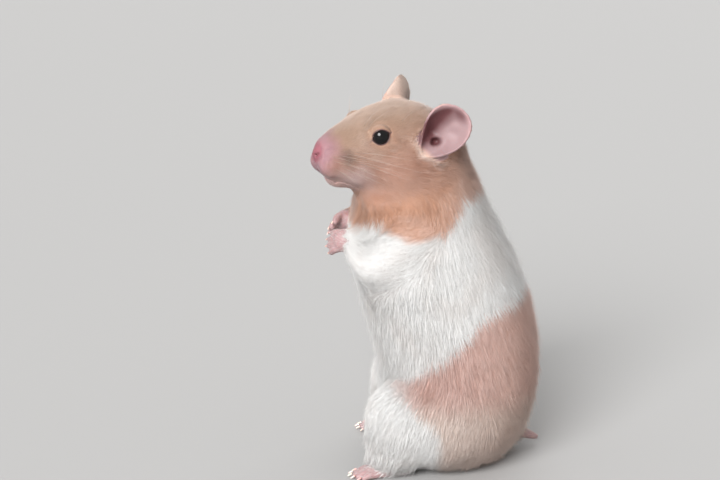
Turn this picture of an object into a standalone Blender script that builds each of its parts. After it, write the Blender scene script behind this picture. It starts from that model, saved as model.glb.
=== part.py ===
"""A Syrian hamster sitting up on its haunches with both forepaws lifted, as a still, life-size model.

Sizes are in millimetres in the tables and in metres on the objects. The animal faces -Y, its left side is
+X and it stands on Z = 0. The solids give the outline of the coat. The body is shaped whole from lofts and
ellipsoids, blended into one surface, and then parted with thin cuts into the pieces that have names.
"""

import math

import bmesh
import bpy
from mathutils import Matrix, Vector

MM = 0.001
GAP = 0.3  # width of the thin cuts between two pieces
SIDES = {"left": 1, "right": -1}

# Trunk sections: height, front, back, half width.
TRUNK_SECTIONS = (
    (-4, -14, 13, 15),
    (2, -20, 19.5, 23),
    (11, -23, 25.5, 28.5),
    (22, -23, 28.8, 31),
    (33, -23.5, 29.8, 31.5),
    (44, -26.5, 29, 30.5),
    (55, -30, 26.5, 29),
    (66, -32.5, 22.8, 27),
    (76, -33, 18, 25),
    (86, -31, 12.8, 23),
    (95, -26, 8.5, 20.5),
    (103, -18, 4, 16),
)
TRUNK_ROUNDNESS = 2.25

# Head sections, in the head's own frame: distance behind the nose, top, bottom, half width.
HEAD_SECTIONS = (
    (0.9, 1.2, -3.6, 2.5),
    (2.2, 2.8, -6.2, 4.4),
    (4.6, 4.5, -8.4, 6.2),
    (8, 6.6, -10.6, 8.2),
    (12, 8.6, -12.5, 10.2),
    (17, 11.0, -14.3, 12.6),
    (22.5, 12.9, -15.8, 15.0),
    (29, 14.0, -17.0, 17.4),
    (35.5, 13.2, -17.6, 18.8),
    (42, 10.2, -17.8, 18.2),
    (47.5, 5.6, -16.8, 15.4),
    (51.5, -1.0, -13.0, 10.3),
)
HEAD_ROUNDNESS = 2.15
HEAD_PIVOT = (0, 33, 0)  # the joint of head and neck, in the head's frame
HEAD_PLACE = (0, -14.1, 105.5)  # where that joint is on the body
HEAD_YAW = 20  # degrees towards its left
HEAD_ROLL = 3  # degrees, left side down

NOSE_CENTRE = (0, 2.4, -1.1)
NOSE_RADII = (2.7, 2.1, 2.3)
PAD_CENTRE = (3.7, 6.2, -4.5)
PAD_RADII = (4.0, 5.2, 4.3)
CHIN_CENTRE = (0, 10.2, -10.2)
CHIN_RADII = (4.2, 5.6, 2.9)
BROW_CENTRE = (7.4, 19.8, 4.2)
BROW_RADII = (4.8, 7.0, 4.8)
CHEEK_CENTRE = (11.2, 31, -6.5)
CHEEK_RADII = (9.8, 13, 10.3)
EYE_CENTRE = (9.8, 19.3, 5.4)
EYE_RADIUS = 3.3

EAR_ROOT = {"left": (19.7, 31.8, -0.9), "right": (15.2, 34.6, 2.0)}
EAR_FACING = (0.86, -0.43, 0.25)
EAR_LEAN = {"left": 31, "right": -10}  # degrees back from upright
EAR_LENGTH = 18.8
EAR_SKEW = 2.4  # how far forward the lower end of its rim lies
EAR_FURL = {"left": 0.0, "right": 0.55}  # how far the sides of its upper half curl in, as a share
EAR_WIDTH = 13.6
EAR_WELL = (-0.35, -0.44)  # deepest point of the dish, as shares of its half width and half length
EAR_CUP = 4.1
EAR_THICKNESS = 1.0

FORELEG_RADII = (10.5, 7.5, 4.4)
FOREPAW_LIFT = {"left": 2.4, "right": 4.2}
FOREPAW_DRAW = {"left": 1.7, "right": 2.6}
FOREPAW_SCALE = 1.15
FOREPAW_TURN = 12  # degrees: fingers inwards, thumb side up, fingers down
FOREPAW_ROLL = 62
FOREPAW_DROOP = 6
HIND_LEG_DRAW = {"left": 0, "right": 4.5}
FORELEG_CUT_MARGIN = 1.2  # how far outside the leg its cut lies
HEAD_CUT_POINT = (0, 31, -10.2)  # in the head's frame
HEAD_CUT_NORMAL = (0, -0.4, 0.92)
NECK_CUT_POINT = (0, -10, 86)
NECK_CUT_NORMAL = (0, -0.1, 1)
HIND_FOOT_PLACE = (20.5, -21.5)
HIND_FOOT_SPLAY = 8
TAIL_ROUTE = ((0, 17, 9), (-1.5, 24.5, 5.6), (-4.5, 30.5, 2.6))
TAIL_RADII = (3.2, 2.2, 1.2)
CLAW_RADIUS = 0.42
CLAW_RISE = 0.55  # the nail's root over the middle of the digit's end
CLAW_BEND = 0.2  # drop of its point, as a share of its length
FORE_CLAW_LENGTH = 1.9
HIND_CLAW_LENGTH = 2.4

BODY_VOXEL = 0.9
BROAD_SMOOTHING = 30
FINE_SMOOTHING = 8
BODY_TRIANGLES = 2400
PAW_VOXEL = 0.3
FOREPAW_TRIANGLES = 320
HIND_FOOT_TRIANGLES = 360


# ---------------------------------------------------------------- scene and materials


def clear_scene():
    for item in list(bpy.data.objects):
        bpy.data.objects.remove(item, do_unlink=True)


def collection(name):
    made = bpy.data.collections.new(name)
    bpy.context.scene.collection.children.link(made)
    return made


def plain_material(name, colour, roughness):
    made = bpy.data.materials.new(name)
    made.use_nodes = True
    shader = made.node_tree.nodes["Principled BSDF"]
    shader.inputs["Base Color"].default_value = (*colour, 1)
    shader.inputs["Roughness"].default_value = roughness
    shader.inputs["Metallic"].default_value = 0
    return made


clear_scene()
ANIMAL = collection("syrian_hamster")
CUTTERS = collection("cutters")
MATERIALS = {
    "golden_coat": plain_material("golden_coat", (0.56, 0.33, 0.22), 0.85),
    "white_coat": plain_material("white_coat", (0.85, 0.82, 0.79), 0.85),
    "bare_skin": plain_material("bare_skin", (0.72, 0.42, 0.40), 0.55),
    "eye": plain_material("eye", (0.012, 0.009, 0.010), 0.08),
    "claw": plain_material("claw", (0.80, 0.68, 0.62), 0.4),
}


# ---------------------------------------------------------------- general tools


def add(name, data):
    """A new object among the cutters; what is kept moves to the animal's collection at the end."""
    made = bpy.data.objects.new(name, data)
    CUTTERS.objects.link(made)
    return made


def as_helper(item):
    item.hide_render = True
    item.display_type = "WIRE"
    return item


def mesh_from(name, shape):
    """A mesh in metres from a bmesh in millimetres, which is freed."""
    shape.transform(Matrix.Scale(MM, 4))
    mesh = bpy.data.meshes.new(name)
    shape.to_mesh(mesh)
    shape.free()
    return mesh


def evaluated_mesh(item):
    """The object's mesh with its modifiers applied, in world space."""
    bpy.context.view_layer.update()
    graph = bpy.context.evaluated_depsgraph_get()
    mesh = bpy.data.meshes.new_from_object(item.evaluated_get(graph))
    mesh.transform(item.matrix_world)
    return mesh


def remove(*items):
    for item in items:
        bpy.data.objects.remove(item, do_unlink=True)


def between(low, high, share):
    return low + (high - low) * share


def spread(rows, steps):
    """Rows of numbers resampled along a smooth curve through them, with steps rows to each gap."""
    made = []
    last = len(rows) - 1
    for index in range(last):
        before = rows[max(index - 1, 0)]
        start, end = rows[index], rows[index + 1]
        after = rows[min(index + 2, last)]
        for step in range(steps):
            t = step / steps
            row = []
            for p0, p1, p2, p3 in zip(before, start, end, after):
                slope_in, slope_out = (p2 - p0) / 2, (p3 - p1) / 2
                bend = 3 * (p2 - p1) - 2 * slope_in - slope_out
                twist = 2 * (p1 - p2) + slope_in + slope_out
                row.append(p1 + slope_in * t + bend * t**2 + twist * t**3)
            made.append(tuple(row))
    made.append(tuple(rows[-1]))
    return made


def rounded(angle, roundness):
    """Cosine and sine of a point on a superellipse: 2 is a true ellipse and more is squarer."""
    power = 2 / roundness
    cosine, sine = math.cos(angle), math.sin(angle)
    return (
        math.copysign(abs(cosine) ** power, cosine),
        math.copysign(abs(sine) ** power, sine),
    )


def loft(name, rings):
    """A closed skin through rings of points, with a point in the middle of each end."""
    shape = bmesh.new()
    loops = [[shape.verts.new(point) for point in ring] for ring in rings]
    count = len(loops[0])
    for lower, upper in zip(loops, loops[1:]):
        for index in range(count):
            after = (index + 1) % count
            shape.faces.new((lower[index], lower[after], upper[after], upper[index]))
    for loop in (loops[0], loops[-1]):
        middle = sum((vertex.co for vertex in loop), Vector()) / count
        pole = shape.verts.new(middle)
        for index in range(count):
            shape.faces.new((pole, loop[index], loop[(index + 1) % count]))
    bmesh.ops.recalc_face_normals(shape, faces=shape.faces)
    return add(name, mesh_from(name, shape))


def ellipsoid(name, centre, radii, place=None, turn=0.0, detail=20):
    """An ellipsoid with its radii along X, Y and Z, turned about X in degrees, and then placed."""
    shape = bmesh.new()
    bmesh.ops.create_uvsphere(shape, u_segments=detail, v_segments=detail // 2, radius=1)
    shape.transform(Matrix.Diagonal((*radii, 1)))
    shape.transform(Matrix.Rotation(math.radians(turn), 4, "X"))
    shape.transform(Matrix.Translation(Vector(centre)))
    if place is not None:
        shape.transform(place)
    return add(name, mesh_from(name, shape))


def as_mesh(item):
    """A curve object made into a mesh object, with its caps welded on."""
    shape = bmesh.new()
    shape.from_mesh(evaluated_mesh(item))
    bmesh.ops.remove_doubles(shape, verts=shape.verts, dist=MM / 1000)
    mesh = bpy.data.meshes.new(item.name)
    shape.to_mesh(mesh)
    shape.free()
    name = item.name
    remove(item)
    return add(name, mesh)


def tapered_tube(name, points, radii, sides=16, steps=6):
    """A round tube along a smooth path, with a radius at each point and flat ends."""
    rows = spread([(*point, radius) for point, radius in zip(points, radii)], steps)
    curve = bpy.data.curves.new(name, "CURVE")
    curve.dimensions = "3D"
    curve.bevel_depth = MM
    curve.bevel_resolution = (sides - 4) // 2
    curve.use_fill_caps = True
    line = curve.splines.new("POLY")
    line.points.add(len(rows) - 1)
    for knot, row in zip(line.points, rows):
        knot.co = (*(Vector(row[:3]) * MM), 1)
        knot.radius = row[3]
    return as_mesh(add(name, curve))


def domed_tube(name, points, radii, sides=16, steps=6):
    """The forms of a tapered tube with a ball at each end."""
    made = [tapered_tube(name, points, radii, sides, steps)]
    for point, radius in ((points[0], radii[0]), (points[-1], radii[-1])):
        made.append(ellipsoid(f"{name}_end", point, (radius, radius, radius), detail=sides))
    return made


def fuse(name, items, voxel, smoothing, triangles=None):
    """One surface round all the items, blended where they meet, and thinned to a number of triangles."""
    joined = bmesh.new()
    for item in items:
        mesh = evaluated_mesh(item)
        joined.from_mesh(mesh)
        bpy.data.meshes.remove(mesh)
    mesh = bpy.data.meshes.new(name)
    joined.to_mesh(mesh)
    joined.free()
    remove(*items)
    whole = add(name, mesh)
    blend = whole.modifiers.new("blend", "REMESH")
    blend.mode = "VOXEL"
    blend.voxel_size = voxel * MM
    soften = whole.modifiers.new("soften", "SMOOTH")
    soften.factor = 0.5
    soften.iterations = smoothing
    fine = evaluated_mesh(whole)
    remove(whole)
    fused = add(name, fine)
    if triangles is None:
        return fused
    fine.calc_loop_triangles()
    thin = fused.modifiers.new("thin", "DECIMATE")
    thin.ratio = min(1.0, triangles / len(fine.loop_triangles))
    thin.use_collapse_triangulate = True
    thinned = evaluated_mesh(fused)
    remove(fused)
    return add(name, thinned)


def cut(item, cutter, operation):
    """Applies one Boolean and leaves the cutter as it was."""
    change = item.modifiers.new(operation.lower(), "BOOLEAN")
    change.operation = operation
    change.solver = "EXACT"
    change.use_self = True  # a grown cutter can cross itself in a crease
    change.object = cutter
    mesh = evaluated_mesh(item)
    item.modifiers.clear()
    item.data = mesh
    return item


def copy_of(item, name):
    return add(name, item.data.copy())


def part_off(whole, name, region):
    """Takes the piece inside a region out of the whole. region(margin) makes the solid of that region."""
    inside = region(0)
    outside = region(GAP)
    piece = cut(copy_of(whole, name), inside, "INTERSECT")
    cut(whole, outside, "DIFFERENCE")
    remove(inside, outside)
    return piece


def keep_largest(item):
    """Drops crumbs that a cut leaves beside the piece."""
    shape = bmesh.new()
    shape.from_mesh(item.data)
    left = set(shape.verts)
    islands = []
    while left:
        stack = [left.pop()]
        island = set(stack)
        while stack:
            for edge in stack.pop().link_edges:
                for vertex in edge.verts:
                    if vertex in left:
                        left.discard(vertex)
                        island.add(vertex)
                        stack.append(vertex)
        islands.append(island)
    largest = max(islands, key=len)
    crumbs = [vertex for island in islands if island is not largest for vertex in island]
    bmesh.ops.delete(shape, geom=crumbs, context="VERTS")
    shape.to_mesh(item.data)
    shape.free()
    return item


# ---------------------------------------------------------------- the body as a whole


def head_frame():
    """The matrix from the head's own frame, with the nose at its origin, to the body's, in millimetres."""
    turn = Matrix.Rotation(math.radians(HEAD_YAW), 4, "Z")
    turn @= Matrix.Rotation(math.radians(HEAD_ROLL), 4, "Y")
    return Matrix.Translation(Vector(HEAD_PLACE)) @ turn @ Matrix.Translation(-Vector(HEAD_PIVOT))


HEAD = head_frame()


def mirrored(point, side):
    return (point[0] * SIDES[side], point[1], point[2])


def trunk_form():
    rings = []
    count = 40
    for height, front, back, half_width in spread(TRUNK_SECTIONS, 3):
        ring = []
        for index in range(count):
            across, along = rounded(2 * math.pi * index / count, TRUNK_ROUNDNESS)
            middle = between(front, back, 0.5)
            ring.append((half_width * across, middle + (back - front) / 2 * along, height))
        rings.append(ring)
    return loft("trunk_form", rings)


def head_form():
    rings = []
    count = 36
    for behind, top, bottom, half_width in spread(HEAD_SECTIONS, 3):
        ring = []
        for index in range(count):
            across, upward = rounded(2 * math.pi * index / count, HEAD_ROUNDNESS)
            middle = between(bottom, top, 0.47)
            reach = top - middle if upward > 0 else middle - bottom
            ring.append(HEAD @ Vector((half_width * across, behind, middle + reach * upward)))
        rings.append(ring)
    return loft("head_form", rings)


def muzzle_forms():
    """The nose, whisker pads, chin and brows, which stand out from the head's cone."""
    made = [
        ellipsoid("chin_form", CHIN_CENTRE, CHIN_RADII, HEAD),
        ellipsoid("nose_form", NOSE_CENTRE, NOSE_RADII, HEAD),
    ]
    for side in SIDES:
        made.append(ellipsoid(f"pad_form_{side}", mirrored(PAD_CENTRE, side), PAD_RADII, HEAD))
        made.append(ellipsoid(f"brow_form_{side}", mirrored(BROW_CENTRE, side), BROW_RADII, HEAD))
    return made


def cheek_forms():
    made = []
    for side in SIDES:
        made.append(ellipsoid(f"cheek_form_{side}", mirrored(CHEEK_CENTRE, side), CHEEK_RADII, HEAD))
    return made


def neck_forms():
    """The thick ruff of fur that joins the head to the shoulders."""
    return [
        ellipsoid("nape_form", (0, -8.5, 93), (20, 14.5, 20), turn=-18),
        ellipsoid("bib_form", (1, -19, 87), (19, 13, 13)),
    ]


def foreleg_route(side):
    shoulder = mirrored((15.5, -12, 80), side)
    elbow = mirrored((18.2, -24, 67.5 + FOREPAW_LIFT[side] / 2), side)
    wrist = mirrored((10.4, -32.6 + FOREPAW_DRAW[side], 73.4 + FOREPAW_LIFT[side]), side)
    return shoulder, elbow, wrist


def hind_leg_forms(side):
    """Thigh, knee and shank, all inside the coat."""
    draw = HIND_LEG_DRAW[side]
    return [
        ellipsoid(f"thigh_form_{side}", mirrored((20.5, -4 + draw, 20), side), (12.5, 20, 18)),
        ellipsoid(f"knee_form_{side}", mirrored((20.5, -16 + draw, 20), side), (10.5, 14, 12.5)),
        ellipsoid(f"shank_form_{side}", mirrored((20.3, -17 + draw, 11.5), side), (10, 13.2, 9.5)),
    ]


def body_form():
    broad = [trunk_form(), head_form()]
    broad += cheek_forms()
    broad += neck_forms()
    for side in SIDES:
        broad += hind_leg_forms(side)
    forms = [fuse("broad_form", broad, BODY_VOXEL, BROAD_SMOOTHING)]
    forms += muzzle_forms()
    for side in SIDES:
        forms += domed_tube(f"foreleg_form_{side}", foreleg_route(side), FORELEG_RADII)
    return fuse("trunk", forms, BODY_VOXEL, FINE_SMOOTHING, BODY_TRIANGLES)


# ---------------------------------------------------------------- pieces that stand on the body


def grown(item, margin):
    """A copy of a rounded solid, larger by a margin all round."""
    copy = copy_of(item, f"{item.name}_grown")
    swell = copy.modifiers.new("swell", "DISPLACE")
    swell.mid_level = 0
    swell.strength = margin * MM
    copy.data = evaluated_mesh(copy)
    copy.modifiers.clear()
    return copy


def fitted(item, neighbour):
    """Trims a piece where it would enter its neighbour, with a thin gap between the two."""
    cutter = grown(neighbour, GAP)
    cut(item, cutter, "DIFFERENCE")
    remove(cutter)
    return keep_largest(item)


def box(name, centre, size, turn=None):
    shape = bmesh.new()
    bmesh.ops.create_cube(shape, size=1)
    shape.transform(Matrix.Diagonal((*size, 1)))
    if turn is not None:
        shape.transform(turn)
    shape.transform(Matrix.Translation(Vector(centre)))
    return add(name, mesh_from(name, shape))


def stood_on_floor(item):
    """Trims a piece flat at the floor, Z = 0."""
    under_floor = box("under_floor", (0, 0, -25), (200, 200, 50))
    cut(item, under_floor, "DIFFERENCE")
    remove(under_floor)
    return keep_largest(item)


def ear_frame(side):
    """The ear's own axes, with the middle of its rim at their origin: across it to its outer edge, up its
    length, and out of its dish."""
    lean = math.radians(EAR_LEAN[side])
    facing = Vector(EAR_FACING).normalized()
    upward = Vector((0, math.sin(lean), math.cos(lean)))
    upward = (upward - facing * upward.dot(facing)).normalized()
    across = upward.cross(facing)
    centre = Vector(EAR_ROOT[side]) + upward * EAR_LENGTH / 2
    axes = [Vector(mirrored(axis, side)) for axis in (across, upward, facing)]
    turn = Matrix(axes).transposed().to_4x4()
    return HEAD @ Matrix.Translation(Vector(mirrored(centre, side))) @ turn


def ear_point(reach, angle, furl):
    """A point of the ear's dish in its own frame, from its deepest point (reach 0) to its rim (reach 1)."""
    across, upward = math.cos(angle), math.sin(angle)
    across *= 1 - furl * max(0.0, upward)
    half_width, half_length = EAR_WIDTH / 2, EAR_LENGTH / 2
    forward = EAR_SKEW * max(0.0, -upward) ** 2
    rim = Vector((half_width * (1 + 0.3 * upward) * across - forward, half_length * upward, 0))
    well = Vector((EAR_WELL[0] * half_width, EAR_WELL[1] * half_length, 0))
    point = well.lerp(rim, reach)
    front_fold = max(0.0, -across) ** 2
    point.z = EAR_CUP * (reach**2 - 1) + 1.5 * front_fold * reach**3
    return point


def ear(side, spokes=22, hoops=4):
    shape = bmesh.new()
    angles = [2 * math.pi * spoke / spokes for spoke in range(spokes)]
    well = shape.verts.new(ear_point(0, 0, EAR_FURL[side]))
    loops = []
    for hoop in range(1, hoops + 1):
        loops.append([shape.verts.new(ear_point(hoop / hoops, angle, EAR_FURL[side])) for angle in angles])
    for spoke in range(spokes):
        after = (spoke + 1) % spokes
        shape.faces.new((well, loops[0][spoke], loops[0][after]))
        for inner, outer in zip(loops, loops[1:]):
            shape.faces.new((inner[spoke], outer[spoke], outer[after], inner[after]))
    shape.transform(ear_frame(side))
    bmesh.ops.recalc_face_normals(shape, faces=shape.faces)
    item = add(f"ear_{side}", mesh_from(f"ear_{side}", shape))
    shell = item.modifiers.new("shell", "SOLIDIFY")
    shell.thickness = EAR_THICKNESS * MM
    shell.offset = 0
    item.data = evaluated_mesh(item)
    item.modifiers.clear()
    return fitted(item, BODY)


def eye_ball(name, side, margin=0.0, detail=16):
    radius = EYE_RADIUS + margin
    return ellipsoid(name, mirrored(EYE_CENTRE, side), (radius, radius, radius), HEAD, detail=detail)


def digit(name, frame, root, tip, radii, curl):
    """The forms of a finger or toe from root to tip, arched by curl."""
    middle = Vector(root).lerp(Vector(tip), 0.5) + Vector((0, 0, curl))
    points = [frame @ Vector(point) for point in (root, middle, tip)]
    return domed_tube(name, points, radii, sides=10, steps=3)


def claw(name, frame, root, tip, length):
    """A short curved nail that goes on from the end of a digit and bends down."""
    along = (Vector(tip) - Vector(root)).normalized()
    start = Vector(tip) + Vector((0, 0, CLAW_RISE))
    middle = start + along * length * 0.6
    end = start + along * length + Vector((0, 0, -CLAW_BEND * length))
    points = [frame @ point for point in (start, middle, end)]
    radii = (CLAW_RADIUS, 0.85 * CLAW_RADIUS, 0.6 * CLAW_RADIUS)
    return tapered_tube(name, points, radii, sides=6, steps=1)


def forepaw_frame(side):
    turn = Matrix.Rotation(math.radians(-FOREPAW_TURN), 4, "Z")
    turn @= Matrix.Rotation(math.radians(FOREPAW_ROLL), 4, "Y")
    turn @= Matrix.Rotation(math.radians(FOREPAW_DROOP), 4, "X")
    flip = Matrix.Diagonal((SIDES[side], 1, 1, 1))
    wrist = Vector(mirrored(foreleg_route(side)[2], side))
    return flip @ Matrix.Translation(wrist) @ turn @ Matrix.Scale(FOREPAW_SCALE, 4)


def forepaw_digits():
    """Root and tip of the four fingers in the paw's frame, with the wrist at its origin."""
    made = []
    for index in range(4):
        place = index - 1.5
        length = 4.2 - 0.35 * place**2
        made.append(((1.25 * place, -4.2, 0.1), (1.8 * place, -4.2 - length, -2.8)))
    return made


def forepaw(side):
    frame = forepaw_frame(side)
    forms = [
        ellipsoid(f"palm_{side}", (0, -2.6, 0), (3.2, 3.8, 2.7), frame),
        ellipsoid(f"wrist_{side}", (0, 1.4, 0.4), (2.8, 4.2, 2.7), frame),
    ]
    for root, tip in forepaw_digits():
        forms += digit("finger", frame, root, tip, (1.2, 1.1, 0.85), 0.7)
    paw = fuse(f"forepaw_{side}", forms, PAW_VOXEL, 3, FOREPAW_TRIANGLES)
    fitted(paw, BODY)
    nails = []
    for index, (root, tip) in enumerate(forepaw_digits(), 1):
        nail = claw(f"foreclaw_{side}_{index}", frame, root, tip, FORE_CLAW_LENGTH)
        nails.append(fitted(nail, paw))
    return [paw, *nails]


def hind_foot_frame(side):
    turn = Matrix.Rotation(math.radians(HIND_FOOT_SPLAY), 4, "Z")
    place = Matrix.Translation((HIND_FOOT_PLACE[0], HIND_FOOT_PLACE[1] + HIND_LEG_DRAW[side], 0))
    return Matrix.Diagonal((SIDES[side], 1, 1, 1)) @ place @ turn


def hind_foot_digits():
    """Root and tip of the five toes in the foot's frame, with the middle of its sole at its origin."""
    made = []
    for index in range(5):
        place = index - 2
        length = 5.6 - 0.55 * place**2
        made.append(((1.35 * place, -5.0 + 0.25 * place**2, 1.5), (1.85 * place, -5.0 - length, 0.85)))
    return made


def hind_foot(side):
    frame = hind_foot_frame(side)
    forms = [
        ellipsoid(f"heel_{side}", (0, 4.4, 2.3), (2.9, 4.4, 2.9), frame),
        ellipsoid(f"sole_{side}", (0, -1.6, 2.0), (3.9, 5.6, 2.6), frame),
    ]
    for root, tip in hind_foot_digits():
        forms += digit("toe", frame, root, tip, (1.35, 1.25, 0.95), 0.45)
    foot = fuse(f"hind_foot_{side}", forms, PAW_VOXEL, 3, HIND_FOOT_TRIANGLES)
    stood_on_floor(foot)
    nails = []
    for index, (root, tip) in enumerate(hind_foot_digits(), 1):
        nail = claw(f"hindclaw_{side}_{index}", frame, root, tip, HIND_CLAW_LENGTH)
        nails.append(fitted(nail, foot))
    return [foot, *nails]


def tail():
    forms = domed_tube("tail_form", TAIL_ROUTE, TAIL_RADII, sides=12, steps=4)
    return fitted(fuse("tail", forms, PAW_VOXEL * 2, 2, 160), BODY)


# ---------------------------------------------------------------- parting the body


def behind_plane(name, point, normal, margin):
    """A large box whose face passes through a point; it fills the side that the normal points to."""
    normal = Vector(normal).normalized()
    turn = normal.to_track_quat("Z", "Y").to_matrix().to_4x4()
    centre = Vector(point) + normal * (100 - margin)
    return box(name, centre, (200, 200, 200), turn)


def head_region(margin):
    point = HEAD @ Vector(HEAD_CUT_POINT)
    normal = HEAD.to_3x3() @ Vector(HEAD_CUT_NORMAL)
    return behind_plane("head_region", point, normal, margin)


def neck_region(margin):
    return behind_plane("neck_region", NECK_CUT_POINT, NECK_CUT_NORMAL, margin)


def jaw_region(margin):
    radii = [radius + margin for radius in (5.6, 8.6, 4.0)]
    return ellipsoid("jaw_region", (0, 10.6, -12.4), radii, HEAD, detail=16)


def nose_region(margin):
    radii = [radius + margin for radius in (2.9, 3.0, 2.5)]
    return ellipsoid("nose_region", (0, 1.0, -0.8), radii, HEAD, detail=14)


def foreleg_region(side):
    radii = [radius + FORELEG_CUT_MARGIN for radius in FORELEG_RADII]
    forms = domed_tube("foreleg_form", foreleg_route(side), radii)
    solid = fuse(f"foreleg_region_{side}", forms, BODY_VOXEL * 1.5, 2, 180)
    return lambda margin: grown(as_helper(solid), margin)


def hind_leg_region(side):
    centre = mirrored((24.5, -10.5 + HIND_LEG_DRAW[side], 14), side)
    solid = ellipsoid(f"hind_leg_region_{side}", centre, (17, 25, 26), detail=14)
    return lambda margin: grown(as_helper(solid), margin)


# ---------------------------------------------------------------- the animal


def finish(item, material):
    """Puts a piece in the animal's collection, with its origin in its own middle."""
    item.data.materials.clear()
    item.data.materials.append(MATERIALS[material])
    corners = [Vector(corner) for corner in item.bound_box]
    middle = sum(corners, Vector()) / 8
    item.data.transform(Matrix.Translation(-middle))
    item.location = middle
    item.data.shade_smooth()
    item.data.set_sharp_from_angle(angle=math.radians(50))
    CUTTERS.objects.unlink(item)
    ANIMAL.objects.link(item)
    item.parent = STAND_POINT


def centre_on_origin():
    """Moves the animal so that the middle of its outline, at floor level, is at the world's origin."""
    bpy.context.view_layer.update()
    reach = []
    for item in ANIMAL.objects:
        reach += [item.matrix_world @ vertex.co for vertex in item.data.vertices] if item.data else []
    for axis in (0, 1):
        values = [point[axis] for point in reach]
        STAND_POINT.location[axis] = -(min(values) + max(values)) / 2


BODY = body_form()
feet = {side: hind_foot(side) for side in SIDES}
paws = {side: forepaw(side) for side in SIDES}
ears = {side: ear(side) for side in SIDES}
rear_end = tail()

for side in SIDES:
    socket = eye_ball("socket", side, GAP)
    cut(BODY, socket, "DIFFERENCE")
    shoe = grown(feet[side][0], GAP)
    cut(BODY, shoe, "DIFFERENCE")
    remove(socket, shoe)
stood_on_floor(BODY)

head = part_off(BODY, "head", head_region)
nose = part_off(head, "nose", nose_region)
jaw = part_off(head, "lower_jaw", jaw_region)
forelegs = [part_off(BODY, f"foreleg_{side}", foreleg_region(side)) for side in SIDES]
hind_legs = [part_off(BODY, f"hind_leg_{side}", hind_leg_region(side)) for side in SIDES]
neck = part_off(BODY, "neck", neck_region)

STAND_POINT = bpy.data.objects.new("stand_point", None)
ANIMAL.objects.link(STAND_POINT)
for item in (head, jaw, neck):
    finish(item, "golden_coat")
for item in (BODY, *forelegs, *hind_legs):
    finish(item, "white_coat")
finish(nose, "bare_skin")
finish(rear_end, "bare_skin")
for side in SIDES:
    finish(eye_ball(f"eye_{side}", side), "eye")
    finish(ears[side], "bare_skin")
    for paw, *nails in (paws[side], feet[side]):
        finish(paw, "bare_skin")
        for nail in nails:
            finish(nail, "claw")
centre_on_origin()
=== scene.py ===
"""The looks of a Syrian hamster that sits up on its haunches: skin, coat, eyes, claws and whiskers.

Sizes are in millimetres in the tables and in metres on the objects. The animal faces -Y and its left side is
+X. One skin takes the place of the solids' flesh and lies under them by the depth of the coat. The coat is
made of tufts, each a closed tapered blade rooted in the skin.
"""

import math

import bmesh
import bpy
import numpy as np
from mathutils import Matrix, Vector
from mathutils.kdtree import KDTree


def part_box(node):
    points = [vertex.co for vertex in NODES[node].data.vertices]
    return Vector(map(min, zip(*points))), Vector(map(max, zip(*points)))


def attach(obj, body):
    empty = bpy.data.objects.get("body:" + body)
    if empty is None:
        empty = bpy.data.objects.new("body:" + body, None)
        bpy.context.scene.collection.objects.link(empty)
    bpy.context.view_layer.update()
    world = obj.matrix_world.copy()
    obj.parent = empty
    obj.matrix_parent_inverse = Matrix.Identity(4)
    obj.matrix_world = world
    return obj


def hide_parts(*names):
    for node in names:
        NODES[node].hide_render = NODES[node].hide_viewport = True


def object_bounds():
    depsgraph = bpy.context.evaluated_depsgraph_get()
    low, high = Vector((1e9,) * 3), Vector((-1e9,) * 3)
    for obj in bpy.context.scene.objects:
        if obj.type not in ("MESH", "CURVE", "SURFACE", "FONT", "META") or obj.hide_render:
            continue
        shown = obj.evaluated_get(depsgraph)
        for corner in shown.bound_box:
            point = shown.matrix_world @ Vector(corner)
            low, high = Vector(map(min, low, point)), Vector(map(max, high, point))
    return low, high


MM = 0.001
SIDES = {"left": 1, "right": -1}

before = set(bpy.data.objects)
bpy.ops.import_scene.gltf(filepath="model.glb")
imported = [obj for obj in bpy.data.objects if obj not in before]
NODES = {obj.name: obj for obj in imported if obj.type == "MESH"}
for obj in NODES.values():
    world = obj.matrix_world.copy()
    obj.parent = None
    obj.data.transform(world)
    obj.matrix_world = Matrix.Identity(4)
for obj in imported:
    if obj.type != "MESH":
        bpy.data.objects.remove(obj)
CAD_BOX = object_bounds()


# ---------------------------------------------------------------- places read from the solids


def middle(node):
    low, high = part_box(node)
    return (Vector(low) + Vector(high)) / 2


def corners(node):
    """The node's corner points, one row each."""
    mesh = NODES[node].data
    points = np.empty(len(mesh.vertices) * 3)
    mesh.vertices.foreach_get("co", points)
    return points.reshape(-1, 3)


EYES = {side: middle(f"eye_{side}") for side in SIDES}
EYE_RADIUS = (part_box("eye_left")[1][0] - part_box("eye_left")[0][0]) / 2
NOSE = middle("nose")
BROW = (EYES["left"] + EYES["right"]) / 2
HEAD_LEFT = (EYES["left"] - EYES["right"]).normalized()
HEAD_BACK = (BROW - NOSE) - HEAD_LEFT * (BROW - NOSE).dot(HEAD_LEFT)
HEAD_BACK = HEAD_BACK.normalized()
HEAD_UP = HEAD_LEFT.cross(HEAD_BACK)
FLESH = [name for name in NODES if not name.startswith(("eye", "foreclaw", "hindclaw"))]
CLAWS = [name for name in NODES if "claw" in name]


def head_places(points):
    """Distances in millimetres to the left of the nose, behind it and above it."""
    axes = np.array([HEAD_LEFT, HEAD_BACK, HEAD_UP])
    return ((points - np.array(NOSE)) @ axes.T / MM).T


def eye_axes(side):
    """The way the eye looks, and the two directions along its lids: backwards and up."""
    outward = HEAD_LEFT * SIDES[side] - HEAD_BACK * 0.26 + HEAD_UP * 0.16
    outward = outward.normalized()
    along = (HEAD_BACK - outward * HEAD_BACK.dot(outward)).normalized()
    upward = HEAD_UP - outward * HEAD_UP.dot(outward)
    upward = (upward - along * upward.dot(along)).normalized()
    return outward, along, upward


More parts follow.
